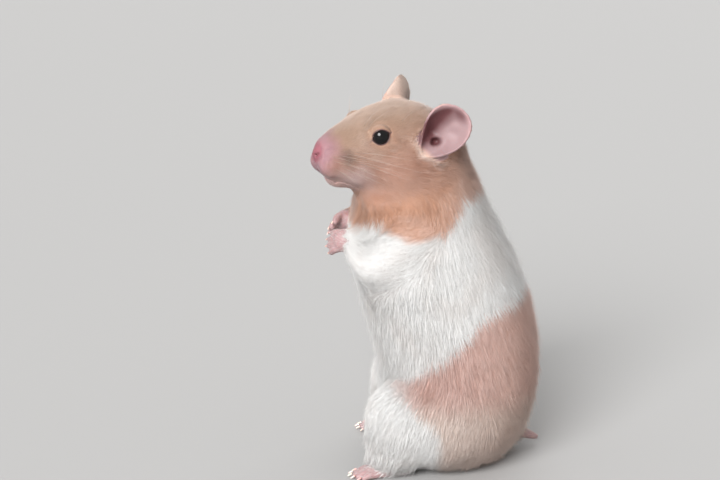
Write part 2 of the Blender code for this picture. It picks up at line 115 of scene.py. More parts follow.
def ear_axes(side):
    """The ear's own axes, its middle and its half sizes.

    The axes are in columns: along its length, across it and out of its dish.
    """
    points = corners(f"ear_{side}")
    across, along = np.linalg.eigh(np.cov((points - points.mean(0)).T))[1][:, 1:].T
    if along @ np.array(HEAD_UP) < 0:
        along = -along
    if across @ np.array(HEAD_BACK) < 0:
        across = -across
    facing = np.cross(along, across)
    if facing @ np.array(HEAD_LEFT) * SIDES[side] < 0:
        facing = -facing
    axes = np.column_stack([along, across, facing])
    placed = points @ axes
    low, high = placed.min(0), placed.max(0)
    return axes, axes @ ((low + high) / 2), (high - low) / 2


# ---------------------------------------------------------------- general tools


def smoothstep(low, high, values):
    share = np.clip((values - low) / (high - low), 0, 1)
    return share * share * (3 - 2 * share)


def add_object(name, mesh):
    made = bpy.data.objects.new(name, mesh)
    bpy.context.scene.collection.objects.link(made)
    return made


def evaluated_mesh(item):
    bpy.context.view_layer.update()
    graph = bpy.context.evaluated_depsgraph_get()
    return bpy.data.meshes.new_from_object(item.evaluated_get(graph))


def apply_modifiers(item):
    mesh = evaluated_mesh(item)
    item.modifiers.clear()
    item.data = mesh
    return item


def rows_of(collection, key, width, kind=np.float32):
    """A mesh's numbers as an array with one row for each element."""
    values = np.empty(len(collection) * width, kind)
    collection.foreach_get(key, values)
    return values.reshape(-1, width) if width > 1 else values


def place_points(mesh, points):
    mesh.vertices.foreach_set("co", points.astype(np.float32).ravel())
    mesh.update()


def normals_of(mesh):
    return rows_of(mesh.vertex_normals, "vector", 3)


class Spreader:
    """Evens out values over a mesh by passing them along its edges."""

    def __init__(self, mesh):
        edges = rows_of(mesh.edges, "vertices", 2, np.int32)
        self.start = np.concatenate([edges[:, 0], edges[:, 1]])
        self.end = np.concatenate([edges[:, 1], edges[:, 0]])
        self.count = len(mesh.vertices)
        self.valence = np.maximum(np.bincount(self.start, minlength=self.count), 1)

    def mean(self, values):
        summed = np.bincount(self.start, weights=values[self.end], minlength=self.count)
        return summed / self.valence

    def spread(self, values, rounds):
        values = values.astype(float)
        for _ in range(rounds):
            values = 0.5 * values + 0.5 * self.mean(values)
        return values

    def spread_rows(self, rows, rounds):
        return np.column_stack([self.spread(rows[:, axis], rounds) for axis in range(rows.shape[1])])


class Tree:
    """Adds nodes to a node tree and joins them."""

    def __init__(self, tree):
        self.tree = tree

    def put(self, socket, value):
        if isinstance(value, bpy.types.NodeSocket):
            self.tree.links.new(value, socket)
        elif isinstance(value, (tuple, list)) and len(value) == 3 and socket.type == "RGBA":
            socket.default_value = (*value, 1)
        else:
            socket.default_value = value

    def node(self, kind, inputs=None, **settings):
        made = self.tree.nodes.new(kind)
        for name, value in settings.items():
            setattr(made, name, value)
        for key, value in (inputs or {}).items():
            self.put(made.inputs[key], value)
        return made

    def maths(self, operation, first, second=0.0, third=0.0):
        inputs = {0: first, 1: second, 2: third}
        return self.node("ShaderNodeMath", inputs, operation=operation).outputs[0]

    def vectors(self, operation, first, second=(0, 0, 0)):
        made = self.node("ShaderNodeVectorMath", {0: first, 1: second}, operation=operation)
        return made.outputs["Value" if operation in ("DOT_PRODUCT", "LENGTH") else "Vector"]

    def scaled(self, vector, amount):
        made = self.node("ShaderNodeVectorMath", {0: vector, "Scale": amount}, operation="SCALE")
        return made.outputs["Vector"]

    def mix(self, share, first, second):
        made = self.node("ShaderNodeMix", data_type="RGBA")
        self.put(made.inputs["Factor"], share)
        self.put(made.inputs[6], first)
        self.put(made.inputs[7], second)
        return made.outputs[2]

    def ramp(self, value, low, high, out_low=0.0, out_high=1.0):
        """A smooth step of a value from one range to another."""
        inputs = {"Value": value, "From Min": low, "From Max": high, "To Min": out_low, "To Max": out_high}
        return self.node("ShaderNodeMapRange", inputs, interpolation_type="SMOOTHSTEP").outputs["Result"]


def stored_in(tree):
    """A function that reads a named attribute inside a tree of geometry nodes."""

    def stored(name, kind="FLOAT"):
        made = tree.node("GeometryNodeInputNamedAttribute", {"Name": name}, data_type=kind)
        return made.outputs["Attribute"]

    return stored


def group_tree(name, kind, inputs, outputs):
    """A node group with named sockets. Returns its Tree, its input sockets by name and its output node."""
    made = bpy.data.node_groups.new(name, kind)
    for socket, (socket_type, value) in inputs.items():
        item = made.interface.new_socket(socket, in_out="INPUT", socket_type=f"NodeSocket{socket_type}")
        if value is not None:
            item.default_value = value
    for socket, socket_type in outputs.items():
        made.interface.new_socket(socket, in_out="OUTPUT", socket_type=f"NodeSocket{socket_type}")
    tree = Tree(made)
    entry = tree.node("NodeGroupInput")
    leave = tree.node("NodeGroupOutput")
    return tree, {socket: entry.outputs[socket] for socket in inputs}, leave


# ---------------------------------------------------------------- the skin

GROWTH = 0.3 * MM  # closes the thin cuts between the solids
SKIN_VOXEL = 0.36 * MM
FINE_REACH = 5.4 * MM  # the skin is twice as fine this near to an eye or the nose
FINEST_REACH = 4.3 * MM  # and twice as fine again this near to an eye
TIP_HEIGHT = 0.30  # height of a tuft's tip over the skin, as a share of its length
SKIN_TRIANGLES = 185_000

# Length of the coat's hairs on each part, in millimetres.
COAT_LENGTHS = {
    "trunk": 7.6,
    "neck": 6.6,
    "head": 3.8,
    "lower_jaw": 1.3,
    "nose": 0.5,
    "foreleg": 4.6,
    "hind_leg": 6.8,
    "ear": 1.1,
    "forepaw": 0.9,
    "hind_foot": 1.1,
    "tail": 1.6,
}
FURLED_EAR_HAIR = 2.2
SHORTEST_HAIR = 0.4
BARE_PARTS = ("ear", "nose", "forepaw", "hind_foot", "tail")

# The lids, as shares of the eye's radius but for their height.
LID_HEIGHT = 0.26 * MM  # over the eyeball
OPENING_HALF_WIDTH = 0.9
OPENING_HALF_HEIGHT = 0.66
SOCKET_RADIUS = 0.82  # of the skin behind the eyeball


def part_of(node):
    """The name of a body part without its side."""
    return node.removesuffix("_left").removesuffix("_right")


def flesh_as_one():
    """One closed surface round all the flesh, with the eye sockets filled to just over the eyeballs."""
    shape = bmesh.new()
    for name in FLESH:
        shape.from_mesh(NODES[name].data)
    bmesh.ops.remove_doubles(shape, verts=shape.verts, dist=0.001 * MM)
    mesh = bpy.data.meshes.new("flesh")
    shape.to_mesh(mesh)
    shape.free()
    item = add_object("flesh", mesh)
    swell = item.modifiers.new("swell", "DISPLACE")
    swell.mid_level = 0
    swell.strength = GROWTH
    apply_modifiers(item)
    shape = bmesh.new()
    shape.from_mesh(item.data)
    for centre in EYES.values():
        place = Matrix.Translation(centre)
        bmesh.ops.create_icosphere(shape, subdivisions=4, radius=EYE_RADIUS + GROWTH, matrix=place)
    shape.to_mesh(item.data)
    shape.free()
    blend = item.modifiers.new("blend", "REMESH")
    blend.mode = "VOXEL"
    blend.voxel_size = SKIN_VOXEL
    return apply_modifiers(item)


def make_finer(item, centres, reach):
    """Halves the faces near some points."""
    shape = bmesh.new()
    shape.from_mesh(item.data)
    near = set()
    for edge in shape.edges:
        place = (edge.verts[0].co + edge.verts[1].co) / 2
        if any((place - centre).length < reach for centre in centres):
            near.add(edge)
    bmesh.ops.subdivide_edges(shape, edges=list(near), cuts=1, use_grid_fill=True)
    shape.to_mesh(item.data)
    shape.free()


def nearest_parts(points):
    """For each point, the index in FLESH of the solid that it is nearest to."""
    rows = [corners(name) for name in FLESH]
    owners = np.concatenate([np.full(len(row), index) for index, row in enumerate(rows)])
    tree = KDTree(len(owners))
    for index, point in enumerate(np.concatenate(rows)):
        tree.insert(point, index)
    tree.balance()
    return np.array([owners[tree.find(point)[1]] for point in points])


def share_of(owners, parts, spreader, rounds=4):
    """1 on some of the body's parts and 0 on the others, with a soft change between the two."""
    chosen = [index for index, name in enumerate(FLESH) if part_of(name) in parts]
    return spreader.spread(np.isin(owners, chosen), rounds)


def coat_length(points, owners, spreader):
    """Hair length in millimetres at each point of the skin."""
    wide = np.array([COAT_LENGTHS[part_of(name)] for name in FLESH])
    narrow = np.array([part_of(name) in BARE_PARTS for name in FLESH], float)
    furry = spreader.spread(np.where(narrow[owners] > 0, 3.0, wide[owners]), 70)
    bare = spreader.spread(narrow[owners], 5)
    behind, above = head_places(points)[1:]
    on_head = share_of(owners, ("head", "lower_jaw"), spreader, 25)
    face = 0.75 + 3.3 * smoothstep(1, 26, behind)
    face += 1.2 * smoothstep(2, -10, above) * smoothstep(18, 30, behind)
    length = furry * (1 - on_head) + face * on_head
    length = length * (1 - bare) + wide[owners] * bare
    length[owners == FLESH.index("ear_right")] = FURLED_EAR_HAIR
    for side, centre in EYES.items():
        from_eye = np.linalg.norm(points - np.array(centre), axis=1) - EYE_RADIUS
        from_paw = np.linalg.norm(points - np.array(middle(f"forepaw_{side}")), axis=1) / MM
        length = np.minimum(length, 0.7 + 0.35 * from_eye / MM)
        length = np.minimum(length, 0.9 + 0.4 * np.maximum(from_paw - 4.5, 0))
    return np.maximum(length, SHORTEST_HAIR)


def sink(item, spreader, depth, smooth, steps=4):
    """Moves the skin inwards by a depth at each point, a little at a time, and keeps it smooth."""
    points = rows_of(item.data.vertices, "co", 3).astype(float)
    soft = np.maximum(smooth, smoothstep(0.5 * MM, 1.6 * MM, depth))[:, None]
    for _ in range(steps):
        points -= normals_of(item.data) * (depth / steps)[:, None]
        even = spreader.spread_rows(points, 8)
        points = points * (1 - soft) + even * soft
        place_points(item.data, points)


def shape_lids(points):
    """Closes the skin over the eyeballs but for an almond-shaped opening.

    Returns the points and a mask of the lids' edge.
    """
    edge = np.zeros(len(points))
    for side, centre in EYES.items():
        outward, along, upward = (np.array(axis) for axis in eye_axes(side))
        offset = points - np.array(centre)
        reach = np.linalg.norm(offset, axis=1)
        x = offset @ along / EYE_RADIUS
        y = offset @ upward / EYE_RADIUS
        near = (reach < EYE_RADIUS + 2.5 * MM) & (offset @ outward > 0)
        from_middle = np.minimum(np.abs(x + 0.04) / OPENING_HALF_WIDTH, 1)
        height = OPENING_HALF_HEIGHT * (1 - from_middle**2.5)
        inside = near & (np.abs(y - 0.02) < height)
        lid = near & ~inside & (reach < EYE_RADIUS + LID_HEIGHT)
        target = np.where(lid, EYE_RADIUS + LID_HEIGHT, reach)
        target = np.where(inside, SOCKET_RADIUS * EYE_RADIUS, target)
        points = np.array(centre) + offset * (target / np.maximum(reach, 1e-9))[:, None]
        rim = np.exp(-(((np.abs(y - 0.02) - height) / 0.09) ** 2)) * near * (reach < EYE_RADIUS + 0.6 * MM)
        tear = np.exp(-(((x + 1.08) / 0.16) ** 2) - ((y + 0.03) / 0.1) ** 2) * near
        edge = np.maximum(edge, np.maximum(rim, 0.75 * tear))
    return points, edge


def shape_nose(points, normals):
    """Two comma-shaped nostrils and the groove under the nose. Returns the points and a mask of painted shade
    in the nostrils and the groove.
    """
    left, behind, above = head_places(points)
    dark = np.zeros(len(points))
    depth = np.zeros(len(points))
    for side in SIDES.values():
        for across, back, up, size, push in ((1.05, -0.9, -0.2, 0.62, 1.0), (1.75, -0.2, 0.2, 0.5, 0.7)):
            away = (left - side * across) ** 2 + (behind - back) ** 2 * 0.6 + (above - up) ** 2 * 1.7
            pit = np.exp(-away / size**2)
            # Painted shade in the nostril pits.
            dark = np.maximum(dark, pit)
            depth = np.maximum(depth, push * pit)
    groove = np.exp(-((left / 0.24) ** 2)) * smoothstep(-0.2, -1.2, above) * smoothstep(5, 2, behind)
    groove *= smoothstep(-11.5, -9, above)
    depth = np.maximum(depth, 0.4 * groove)
    return points - normals * (depth * MM)[:, None], np.clip(dark + 0.35 * groove, 0, 1)


def shape_mouth(points, normals, owners, spreader):
    """A groove along the line between the upper lips and the lower jaw. Returns the points and its mask,
    which also paints shade along the line.
    """
    jaw = (owners == FLESH.index("lower_jaw")).astype(float)
    share = spreader.spread(jaw, 4)
    behind = head_places(points)[1]
    line = np.exp(-(((share - 0.5) / 0.22) ** 2)) * smoothstep(15, 10, behind) * (share > 0.02)
    return points - normals * (0.55 * line * MM)[:, None], line


def shape_ears(points, normals, owners, spreader):
    """Deepens the ears' dishes.

    Returns the points and masks of the bare inside, the pale rim, the painted shade (a crescent inside the
    dish's front and top edges, the ear canal and the pit under the ear) and all that has hair.
    """
    inside = np.zeros(len(points))
    dark = np.zeros(len(points))
    pale = np.zeros(len(points))
    for side in SIDES:
        axes, centre, half = ear_axes(side)
        up, back, out = ((points - centre) @ axes / half).T
        opens = normals @ axes[:, 2]
        is_ear = owners == FLESH.index(f"ear_{side}")
        reach = np.hypot(up, back)
        near = np.abs(out) * half[2] < 5 * MM
        in_rim = smoothstep(1.08, 0.98, reach) * near
        here = is_ear * in_rim * smoothstep(-0.3, 0.1, opens) * smoothstep(-0.98, -0.7, up)
        pale = np.maximum(pale, here * smoothstep(0.84, 0.95, reach))
        hollow = ~is_ear * near * (opens > 0.15) * smoothstep(0.9, 0.45, reach)
        inside = np.maximum(inside, np.maximum(here, smoothstep(0, 0.4, hollow)))
        # Painted shade: a crescent of shadow inside the dish's front and top edges, the ear canal and the pit
        # under the ear.
        shadow = smoothstep(0.15, -0.55, back) * smoothstep(-0.9, -0.35, up)
        top_edge = smoothstep(0.45, 0.85, up) * smoothstep(0.7, 0.1, back)
        crescent = 0.9 * np.maximum(shadow, 0.8 * top_edge) * smoothstep(0.95, 0.78, reach)
        passage = np.exp(-(((up + 0.40) / 0.42) ** 2) - ((back + 0.42) / 0.40) ** 2)
        passage *= (opens > -0.2) * near * in_rim
        shade = np.maximum.reduce([crescent * here, passage, 0.9 * hollow])
        dark = np.maximum(dark, np.clip(1.3 * spreader.spread(shade, 6), 0, 1))
        fold = 0.18 * np.sin(np.arctan2(up, back) * 6 + 4 * reach)
        fold *= np.exp(-(((reach - 0.55) / 0.22) ** 2))
        push = fold * here * (opens > 0.2) - 2.0 * hollow - 0.9 * passage * is_ear
        points = points + axes[:, 2] * (spreader.spread(push, 5) * MM)[:, None]
    haired = 1 - np.clip(4 * spreader.spread(inside, 24), 0, 1)
    return points, inside, pale, dark, haired


def hair_lie(points, normals, owners, spreader):
    """The direction that the coat lies in at each point, along the skin."""
    down = Vector((0, 0, -1))
    tail_root = corners("tail")[np.argmin(corners("tail")[:, 1])]
    lie = np.zeros_like(points)
    for index, name in enumerate(FLESH):
        here = owners == index
        part = part_of(name)
        side = "left" if name.endswith("left") else "right"
        if part in ("head", "nose", "lower_jaw"):
            behind, above = head_places(points[here])[1:]
            droop = 0.15 + 0.55 * smoothstep(2, -12, above) + 0.5 * smoothstep(26, 42, behind)
            lie[here] = np.array(HEAD_BACK) - np.outer(droop, np.array(HEAD_UP))
        elif part == "neck":
            lie[here] = Vector((0, 0.25, -1))
        elif part == "trunk":
            homing = tail_root - points[here]
            homing /= np.linalg.norm(homing, axis=1)[:, None]
            share = smoothstep(0.05, 0.015, points[here][:, 2]) * smoothstep(0, 0.02, points[here][:, 1])
            plain = np.array((0, 0.22, -1))
            lie[here] = plain * (1 - share)[:, None] + homing * share[:, None]
        elif part == "foreleg":
            lie[here] = np.array(middle(f"forepaw_{side}")) - points[here]
            lie[here] /= np.linalg.norm(lie[here], axis=1)[:, None]
        elif part == "hind_leg":
            lie[here] = Vector((0, -0.3, -1))
        elif part in ("forepaw", "hind_foot"):
            claw = "foreclaw" if part == "forepaw" else "hindclaw"
            lie[here] = (middle(f"{claw}_{side}_2") - middle(name)).normalized()
        elif part == "ear":
            axes, centre, half = ear_axes(side)
            lie[here] = points[here] - (centre - axes[:, 0] * half[0] * 1.6)
        elif part == "tail":
            lie[here] = np.array(corners("tail")[np.argmax(corners("tail")[:, 1])]) - tail_root
    lie /= np.maximum(np.linalg.norm(lie, axis=1), 1e-9)[:, None]
    lie = spreader.spread_rows(lie + 0.02 * np.array(down), 60)
    for centre in EYES.values():
        away = points - np.array(centre)
        reach = np.linalg.norm(away, axis=1)
        lie += away * (0.9 * smoothstep(3.0 * MM, 0, reach - EYE_RADIUS) / np.maximum(reach, 1e-9))[:, None]
    lie -= normals * np.sum(lie * normals, axis=1)[:, None]
    return lie / np.maximum(np.linalg.norm(lie, axis=1), 1e-9)[:, None]


def store(mesh, name, kind, values):
    made = mesh.attributes.new(name, kind, "POINT")
    key = "vector" if kind == "FLOAT_VECTOR" else "value"
    made.data.foreach_set(key, np.ascontiguousarray(values, np.float32).ravel())


def drop(mesh, names):
    """Removes stored values that nothing needs any more."""
    for name in names:
        if name in mesh.attributes:
            mesh.attributes.remove(mesh.attributes[name])


def thin_plain_skin(item, length):
    """Thins the skin out where a long coat hides it."""
    weights = smoothstep(2.2, 4.0, length)
    group = item.vertex_groups.new(name="under_long_coat")
    for index in np.nonzero(weights > 0.02)[0]:
        group.add([int(index)], float(weights[index]), "REPLACE")
    item.data.calc_loop_triangles()
    thin = item.modifiers.new("thin", "DECIMATE")
    thin.ratio = min(1, SKIN_TRIANGLES / len(item.data.loop_triangles))
    thin.vertex_group = group.name
    apply_modifiers(item)
    item.vertex_groups.clear()


def build_skin():
    item = flesh_as_one()
    make_finer(item, [NOSE, *EYES.values()], FINE_REACH)
    make_finer(item, EYES.values(), FINEST_REACH)
    mesh = item.data
    points = rows_of(mesh.vertices, "co", 3).astype(float)
    spreader = Spreader(mesh)
    owners = nearest_parts(points)
    length = coat_length(points, owners, spreader)
    depth = GROWTH + TIP_HEIGHT * np.maximum(length - 1.0, 0) * MM
    depth *= 1 - share_of(owners, ("forepaw",), spreader)
    sink(item, spreader, depth, share_of(owners, ("head", "nose", "lower_jaw"), spreader))
    points = rows_of(mesh.vertices, "co", 3).astype(float)
    normals = normals_of(mesh)
    near_nose = smoothstep(6.5, 4.5, np.linalg.norm(points - np.array(NOSE), axis=1) / MM)
    on_jaw = np.clip(2 * share_of(owners, ("lower_jaw",), spreader, 16), 0, 1)
    on_leg = share_of(owners, ("foreleg",), spreader, 40)
    fold = smoothstep(0.1, 0.5, 4 * on_leg * (1 - on_leg)) * smoothstep(1.5, 3.0, length)
    for _ in range(4):
        points = points * (1 - fold[:, None]) + spreader.spread_rows(points, 25) * fold[:, None]
    evened = np.maximum(near_nose, on_jaw)[:, None]
    points = points * (1 - evened) + spreader.spread_rows(points, 30) * evened
    on_ear = np.clip(2 * share_of(owners, ("ear",), spreader), 0, 1)[:, None]
    points = points * (1 - on_ear) + spreader.spread_rows(points, 7) * on_ear
    place_points(mesh, points)
    normals = normals_of(mesh)
    points, lid_edge = shape_lids(points)
    points, nostril = shape_nose(points, normals)
    points, mouth = shape_mouth(points, normals, owners, spreader)
    points, ear_inside, ear_rim, passage, haired = shape_ears(points, normals, owners, spreader)
    place_points(mesh, points)
    normals = normals_of(mesh)

    bare = share_of(owners, BARE_PARTS[1:], spreader)
    from_nose = np.linalg.norm(points - np.array(NOSE), axis=1) / MM
    lips = np.exp(-((from_nose / 5.5) ** 2))
    store(mesh, "nose_skin", "FLOAT", smoothstep(5.0, 2.2, from_nose))
    bare = np.clip(np.maximum.reduce([bare, ear_inside, lips, 0.4 * mouth]), 0, 1)
    store(mesh, "bare", "FLOAT", bare)
    # Painted shade: the nostrils, the groove under the nose, the line of the mouth and the ears' hollows are
    # darkened.
    store(mesh, "painted_shade", "FLOAT", np.clip(np.maximum.reduce([nostril, 0.6 * mouth, passage]), 0, 1))
    store(mesh, "lid_edge", "FLOAT", lid_edge)
    store(mesh, "dish", "FLOAT", ear_inside * (1 - ear_rim))
    store(mesh, "ear", "FLOAT", share_of(owners, ("ear",), spreader, 8))
    store(mesh, "haired", "FLOAT", haired)
    store(mesh, "lie", "FLOAT_VECTOR", hair_lie(points, normals, owners, spreader))
    store(mesh, "hair", "FLOAT", length * MM)
    thin_plain_skin(item, length)
    item.name = "skin"
    item.data.name = "skin"
    item.data.shade_smooth()
    return item


# ---------------------------------------------------------------- colours, shared by the skin and the coat

WHITE = (0.97, 0.95, 0.925)
GOLD = (0.72, 0.365, 0.235)
PALE_GOLD = (0.74, 0.44, 0.37)
FOREHEAD = (0.65, 0.42, 0.30)
CHEEK = (0.55, 0.26, 0.17)
DUSK = (0.20, 0.11, 0.085)
# Painted shade behind the whisker pad.
WHISKER_BED_SHADE = (0.24, 0.14, 0.105)
CREAM = (0.78, 0.60, 0.51)
EAR_CREAM = (0.93, 0.70, 0.58)
PINK = (0.35, 0.205, 0.21)
PALE_PINK = (0.42, 0.27, 0.27)
DISH_PINK = (0.29, 0.19, 0.195)
NOSE_PINK = (0.26, 0.072, 0.098)
LIP_PINK = (0.50, 0.26, 0.31)
# Painted shade for the nostrils, the mouth line and the ears' hollows.
PAINTED_SHADE_PINK = (0.08, 0.012, 0.015)
SIDE_OF_FACE = (0.64, 0.39, 0.31)
UNDER_EYE = (0.68, 0.50, 0.39)
LIP_FUR = (0.93, 0.67, 0.64)
NAPE = (0.27, 0.155, 0.115)
LID_BROWN = (0.09, 0.045, 0.045)
IRIS_DARK = (0.006, 0.0035, 0.004)
IRIS_LIGHT = (0.022, 0.011, 0.010)
PUPIL = (0.003, 0.0025, 0.003)
CLAW_ROOT = (0.66, 0.36, 0.33)
CLAW_TIP = (0.80, 0.70, 0.62)
CLAW_STREAK = (0.60, 0.46, 0.38)
WHISKER_ROOT = (0.30, 0.20, 0.16)
WHISKER_TIP = (0.66, 0.55, 0.48)


def build_markings():
    """The coat's colour at a place on the body, and how much dark ticking it has there."""
    inputs = {"Place": ("Vector", None), "Wobble": ("Float", 4.5), "Ear": ("Float", 0.0)}
    outputs = {"Colour": "Color", "Ticking": "Float"}
    tree, given, leave = group_tree("Markings", "ShaderNodeTree", inputs, outputs)
    steady = tree.scaled(given["Place"], 1 / MM)
    noise = tree.node("ShaderNodeTexNoise", {"Vector": steady, "Scale": 0.2, "Detail": 3.0})
    shake = tree.scaled(tree.vectors("SUBTRACT", noise.outputs["Color"], (0.5, 0.5, 0.5)), given["Wobble"])
    place = tree.vectors("ADD", steady, shake)
    body = tree.node("ShaderNodeSeparateXYZ", {0: place}).outputs
    back, height = body["Y"], body["Z"]

    # Head places: the distance from the middle plane, behind the nose and above it.
    from_nose = tree.vectors("SUBTRACT", place, tuple(NOSE / MM))
    aside = tree.maths("ABSOLUTE", tree.vectors("DOT_PRODUCT", from_nose, tuple(HEAD_LEFT)))
    behind = tree.vectors("DOT_PRODUCT", from_nose, tuple(HEAD_BACK))
    above = tree.vectors("DOT_PRODUCT", from_nose, tuple(HEAD_UP))
    head_place = tree.node("ShaderNodeCombineXYZ", {0: aside, 1: behind, 2: above}).outputs[0]

    def spot(centre, inner, outer, squash=(1, 1, 1)):
        """A soft spot, the same on both sides of the head: 1 inside, 0 outside."""
        away = tree.vectors("MULTIPLY", tree.vectors("SUBTRACT", head_place, centre), squash)
        return tree.ramp(tree.vectors("LENGTH", away), inner, outer, 1.0, 0.0)

    # The bib: gold above an edge that dips on the shoulder and climbs to the nape.
    edge = tree.maths("ADD", tree.ramp(back, -20, -6, 83.0, 79.0), tree.ramp(back, 2, 11, 0.0, 11.0))
    edge = tree.maths("ADD", edge, tree.ramp(back, -28, -13, -3.6, 0.0))
    bib = tree.ramp(tree.maths("SUBTRACT", height, edge), -1.6, 1.6)

    # The haunch: gold below an edge that climbs towards the back, behind the white front of the thigh.
    low = tree.maths("ADD", tree.ramp(back, -16, -4, 43.0, 39.0), tree.ramp(back, 0, 18, 0.0, 15.5))
    low = tree.maths("ADD", low, tree.ramp(back, 18, 36, 0.0, 4.5))
    low = tree.maths("ADD", low, tree.ramp(back, -17, 2, -14.0, 0.0))
    haunch = tree.ramp(tree.maths("SUBTRACT", low, height), -1.8, 1.8)
    front = tree.ramp(height, 14, 36, 2.0, -16.0)
    haunch = tree.maths("MULTIPLY", haunch, tree.ramp(tree.maths("SUBTRACT", back, front), -2.5, 2.5))
    haunch = tree.maths("MULTIPLY", haunch, tree.ramp(back, -20, -1, 0.1, 1.0))

    haunch_colour = tree.mix(tree.ramp(height, 20, 31), CREAM, PALE_GOLD)
    haunch_colour = tree.mix(tree.ramp(back, 2, 30, 0.0, 0.3), haunch_colour, GOLD)
    haunch_colour = tree.mix(tree.ramp(back, -18, -5, 0.5, 0.0), haunch_colour, WHITE)
    colour = tree.mix(haunch, WHITE, haunch_colour)

    face = tree.mix(tree.ramp(above, -12, 6), CHEEK, FOREHEAD)
    # The lower cheek turns to the bib's gold. This is partly a real marking and partly painted lighter to
    # make up for the shade on its down-turned side.
    face = tree.mix(tree.ramp(above, -11, -24), face, GOLD)
    face = tree.mix(tree.ramp(back, 0, 14, 0.0, 0.7), face, SIDE_OF_FACE)
    # Painted shade behind the whisker pad.
    whisker_bed_shade = tree.maths("MULTIPLY", spot((8.0, 6.8, -2.9), 0.6, 3.6, (1, 1, 0.7)), 0.8)
    face = tree.mix(whisker_bed_shade, face, WHISKER_BED_SHADE)
    under_eye = tree.maths("MULTIPLY", spot((10.4, 18.6, -4.0), 1.2, 4.6, (1, 0.7, 1)), 0.5)
    face = tree.mix(under_eye, face, UNDER_EYE)
    lips = tree.maths("MULTIPLY", tree.ramp(above, -4, -9), tree.ramp(behind, 14, 6))
    lips = tree.maths("MULTIPLY", lips, tree.ramp(above, -17, -13))
    face = tree.mix(tree.maths("MULTIPLY", lips, 0.85), face, LIP_FUR)
    face = tree.mix(spot((0, 0.5, -1.0), 4.5, 10.5), face, LIP_PINK)
    nape = tree.maths("MULTIPLY", tree.ramp(behind, 33, 40), tree.ramp(above, 8, -2))
    nape = tree.maths("MULTIPLY", nape, tree.ramp(above, -27, -15))
    face = tree.mix(tree.maths("MULTIPLY", nape, 0.2), face, NAPE)
    colour = tree.mix(bib, colour, face)
    colour = tree.mix(given["Ear"], colour, EAR_CREAM)

    # Broad, faint patches keep the colour from being flat.
    broad = tree.node("ShaderNodeTexNoise", {"Vector": steady, "Scale": 0.09, "Detail": 4.0}).outputs[0]
    warm = tree.vectors("MULTIPLY", colour, (0.93, 0.89, 0.87))
    colour = tree.mix(tree.ramp(broad, 0.42, 0.72, 0.0, 0.8), colour, warm)
    tree.put(leave.inputs["Colour"], colour)
    tree.put(leave.inputs["Ticking"], tree.maths("MULTIPLY", bib, nape))
    return tree.tree


MARKINGS = build_markings()


def new_material(name, **constants):
    """A material's Tree and its shader, with the constant values set on the shader's own sockets."""
    made = bpy.data.materials.new(name)
    made.use_nodes = True
    shader = made.node_tree.nodes["Principled BSDF"]
    for socket, value in constants.items():
        shader.inputs[socket.replace("_", " ")].default_value = value
    return made, Tree(made.node_tree), shader


def attribute(tree, name, output="Fac"):
    return tree.node("ShaderNodeAttribute", attribute_name=name).outputs[output]


def markings_at(tree, place):
    made = tree.node("ShaderNodeGroup", node_tree=MARKINGS)
    tree.put(made.inputs["Place"], place)
    tree.put(made.inputs["Ear"], attribute(tree, "ear"))
    return made.outputs


def coat_material():
    made, tree, shader = new_material("coat", Roughness=0.6, Sheen_Weight=0.2, Sheen_Roughness=0.45)
    shader.inputs["Specular IOR Level"].default_value = 0.2
    shader.inputs["Subsurface Weight"].default_value = 0.4
    shader.inputs["Subsurface Radius"].default_value = (1.0, 0.8, 0.7)
    shader.inputs["Subsurface Scale"].default_value = 1.0 * MM
    markings = markings_at(tree, attribute(tree, "tint_place", "Vector"))
    along = attribute(tree, "along")
    shade = attribute(tree, "shade")
    colour = markings["Colour"]
    at_root = tree.vectors("MULTIPLY", colour, (0.88, 0.82, 0.79))
    colour = tree.mix(tree.ramp(along, 0.0, 0.6, 0.5, 0.0), colour, at_root)

    # Fine streaks along the tuft stand for its single hairs.
    strand = tree.vectors("MULTIPLY", attribute(tree, "strand", "Vector"), (9.0, 0.8, 1.0))
    streak = tree.node("ShaderNodeTexNoise", {"Vector": strand, "Scale": 1.0, "Detail": 2.0}).outputs[0]
    tint = tree.maths("MULTIPLY_ADD", shade, 0.10, 0.91)
    tint = tree.maths("ADD", tint, tree.ramp(streak, 0.3, 0.7, 0.0, 0.12))
    # Painted shade: short fur is darkened to match the shade that longer fur casts within itself.
    tint = tree.maths("MULTIPLY", tint, tree.ramp(attribute(tree, "hair"), 0.6 * MM, 2.6 * MM, 0.8, 1.0))
    colour = tree.scaled(colour, tint)
    tick = tree.maths("MULTIPLY", markings["Ticking"], tree.ramp(shade, 0.55, 0.75))
    tick = tree.maths("MULTIPLY", tick, tree.ramp(along, 0.4, 0.8))
    colour = tree.mix(tree.maths("MULTIPLY", tick, 0.75), colour, DUSK)
    tree.put(shader.inputs["Base Color"], colour)
    bump = tree.node("ShaderNodeBump", {"Height": streak, "Strength": 0.25, "Distance": 0.05 * MM})
    tree.put(shader.inputs["Normal"], bump.outputs["Normal"])
    return made


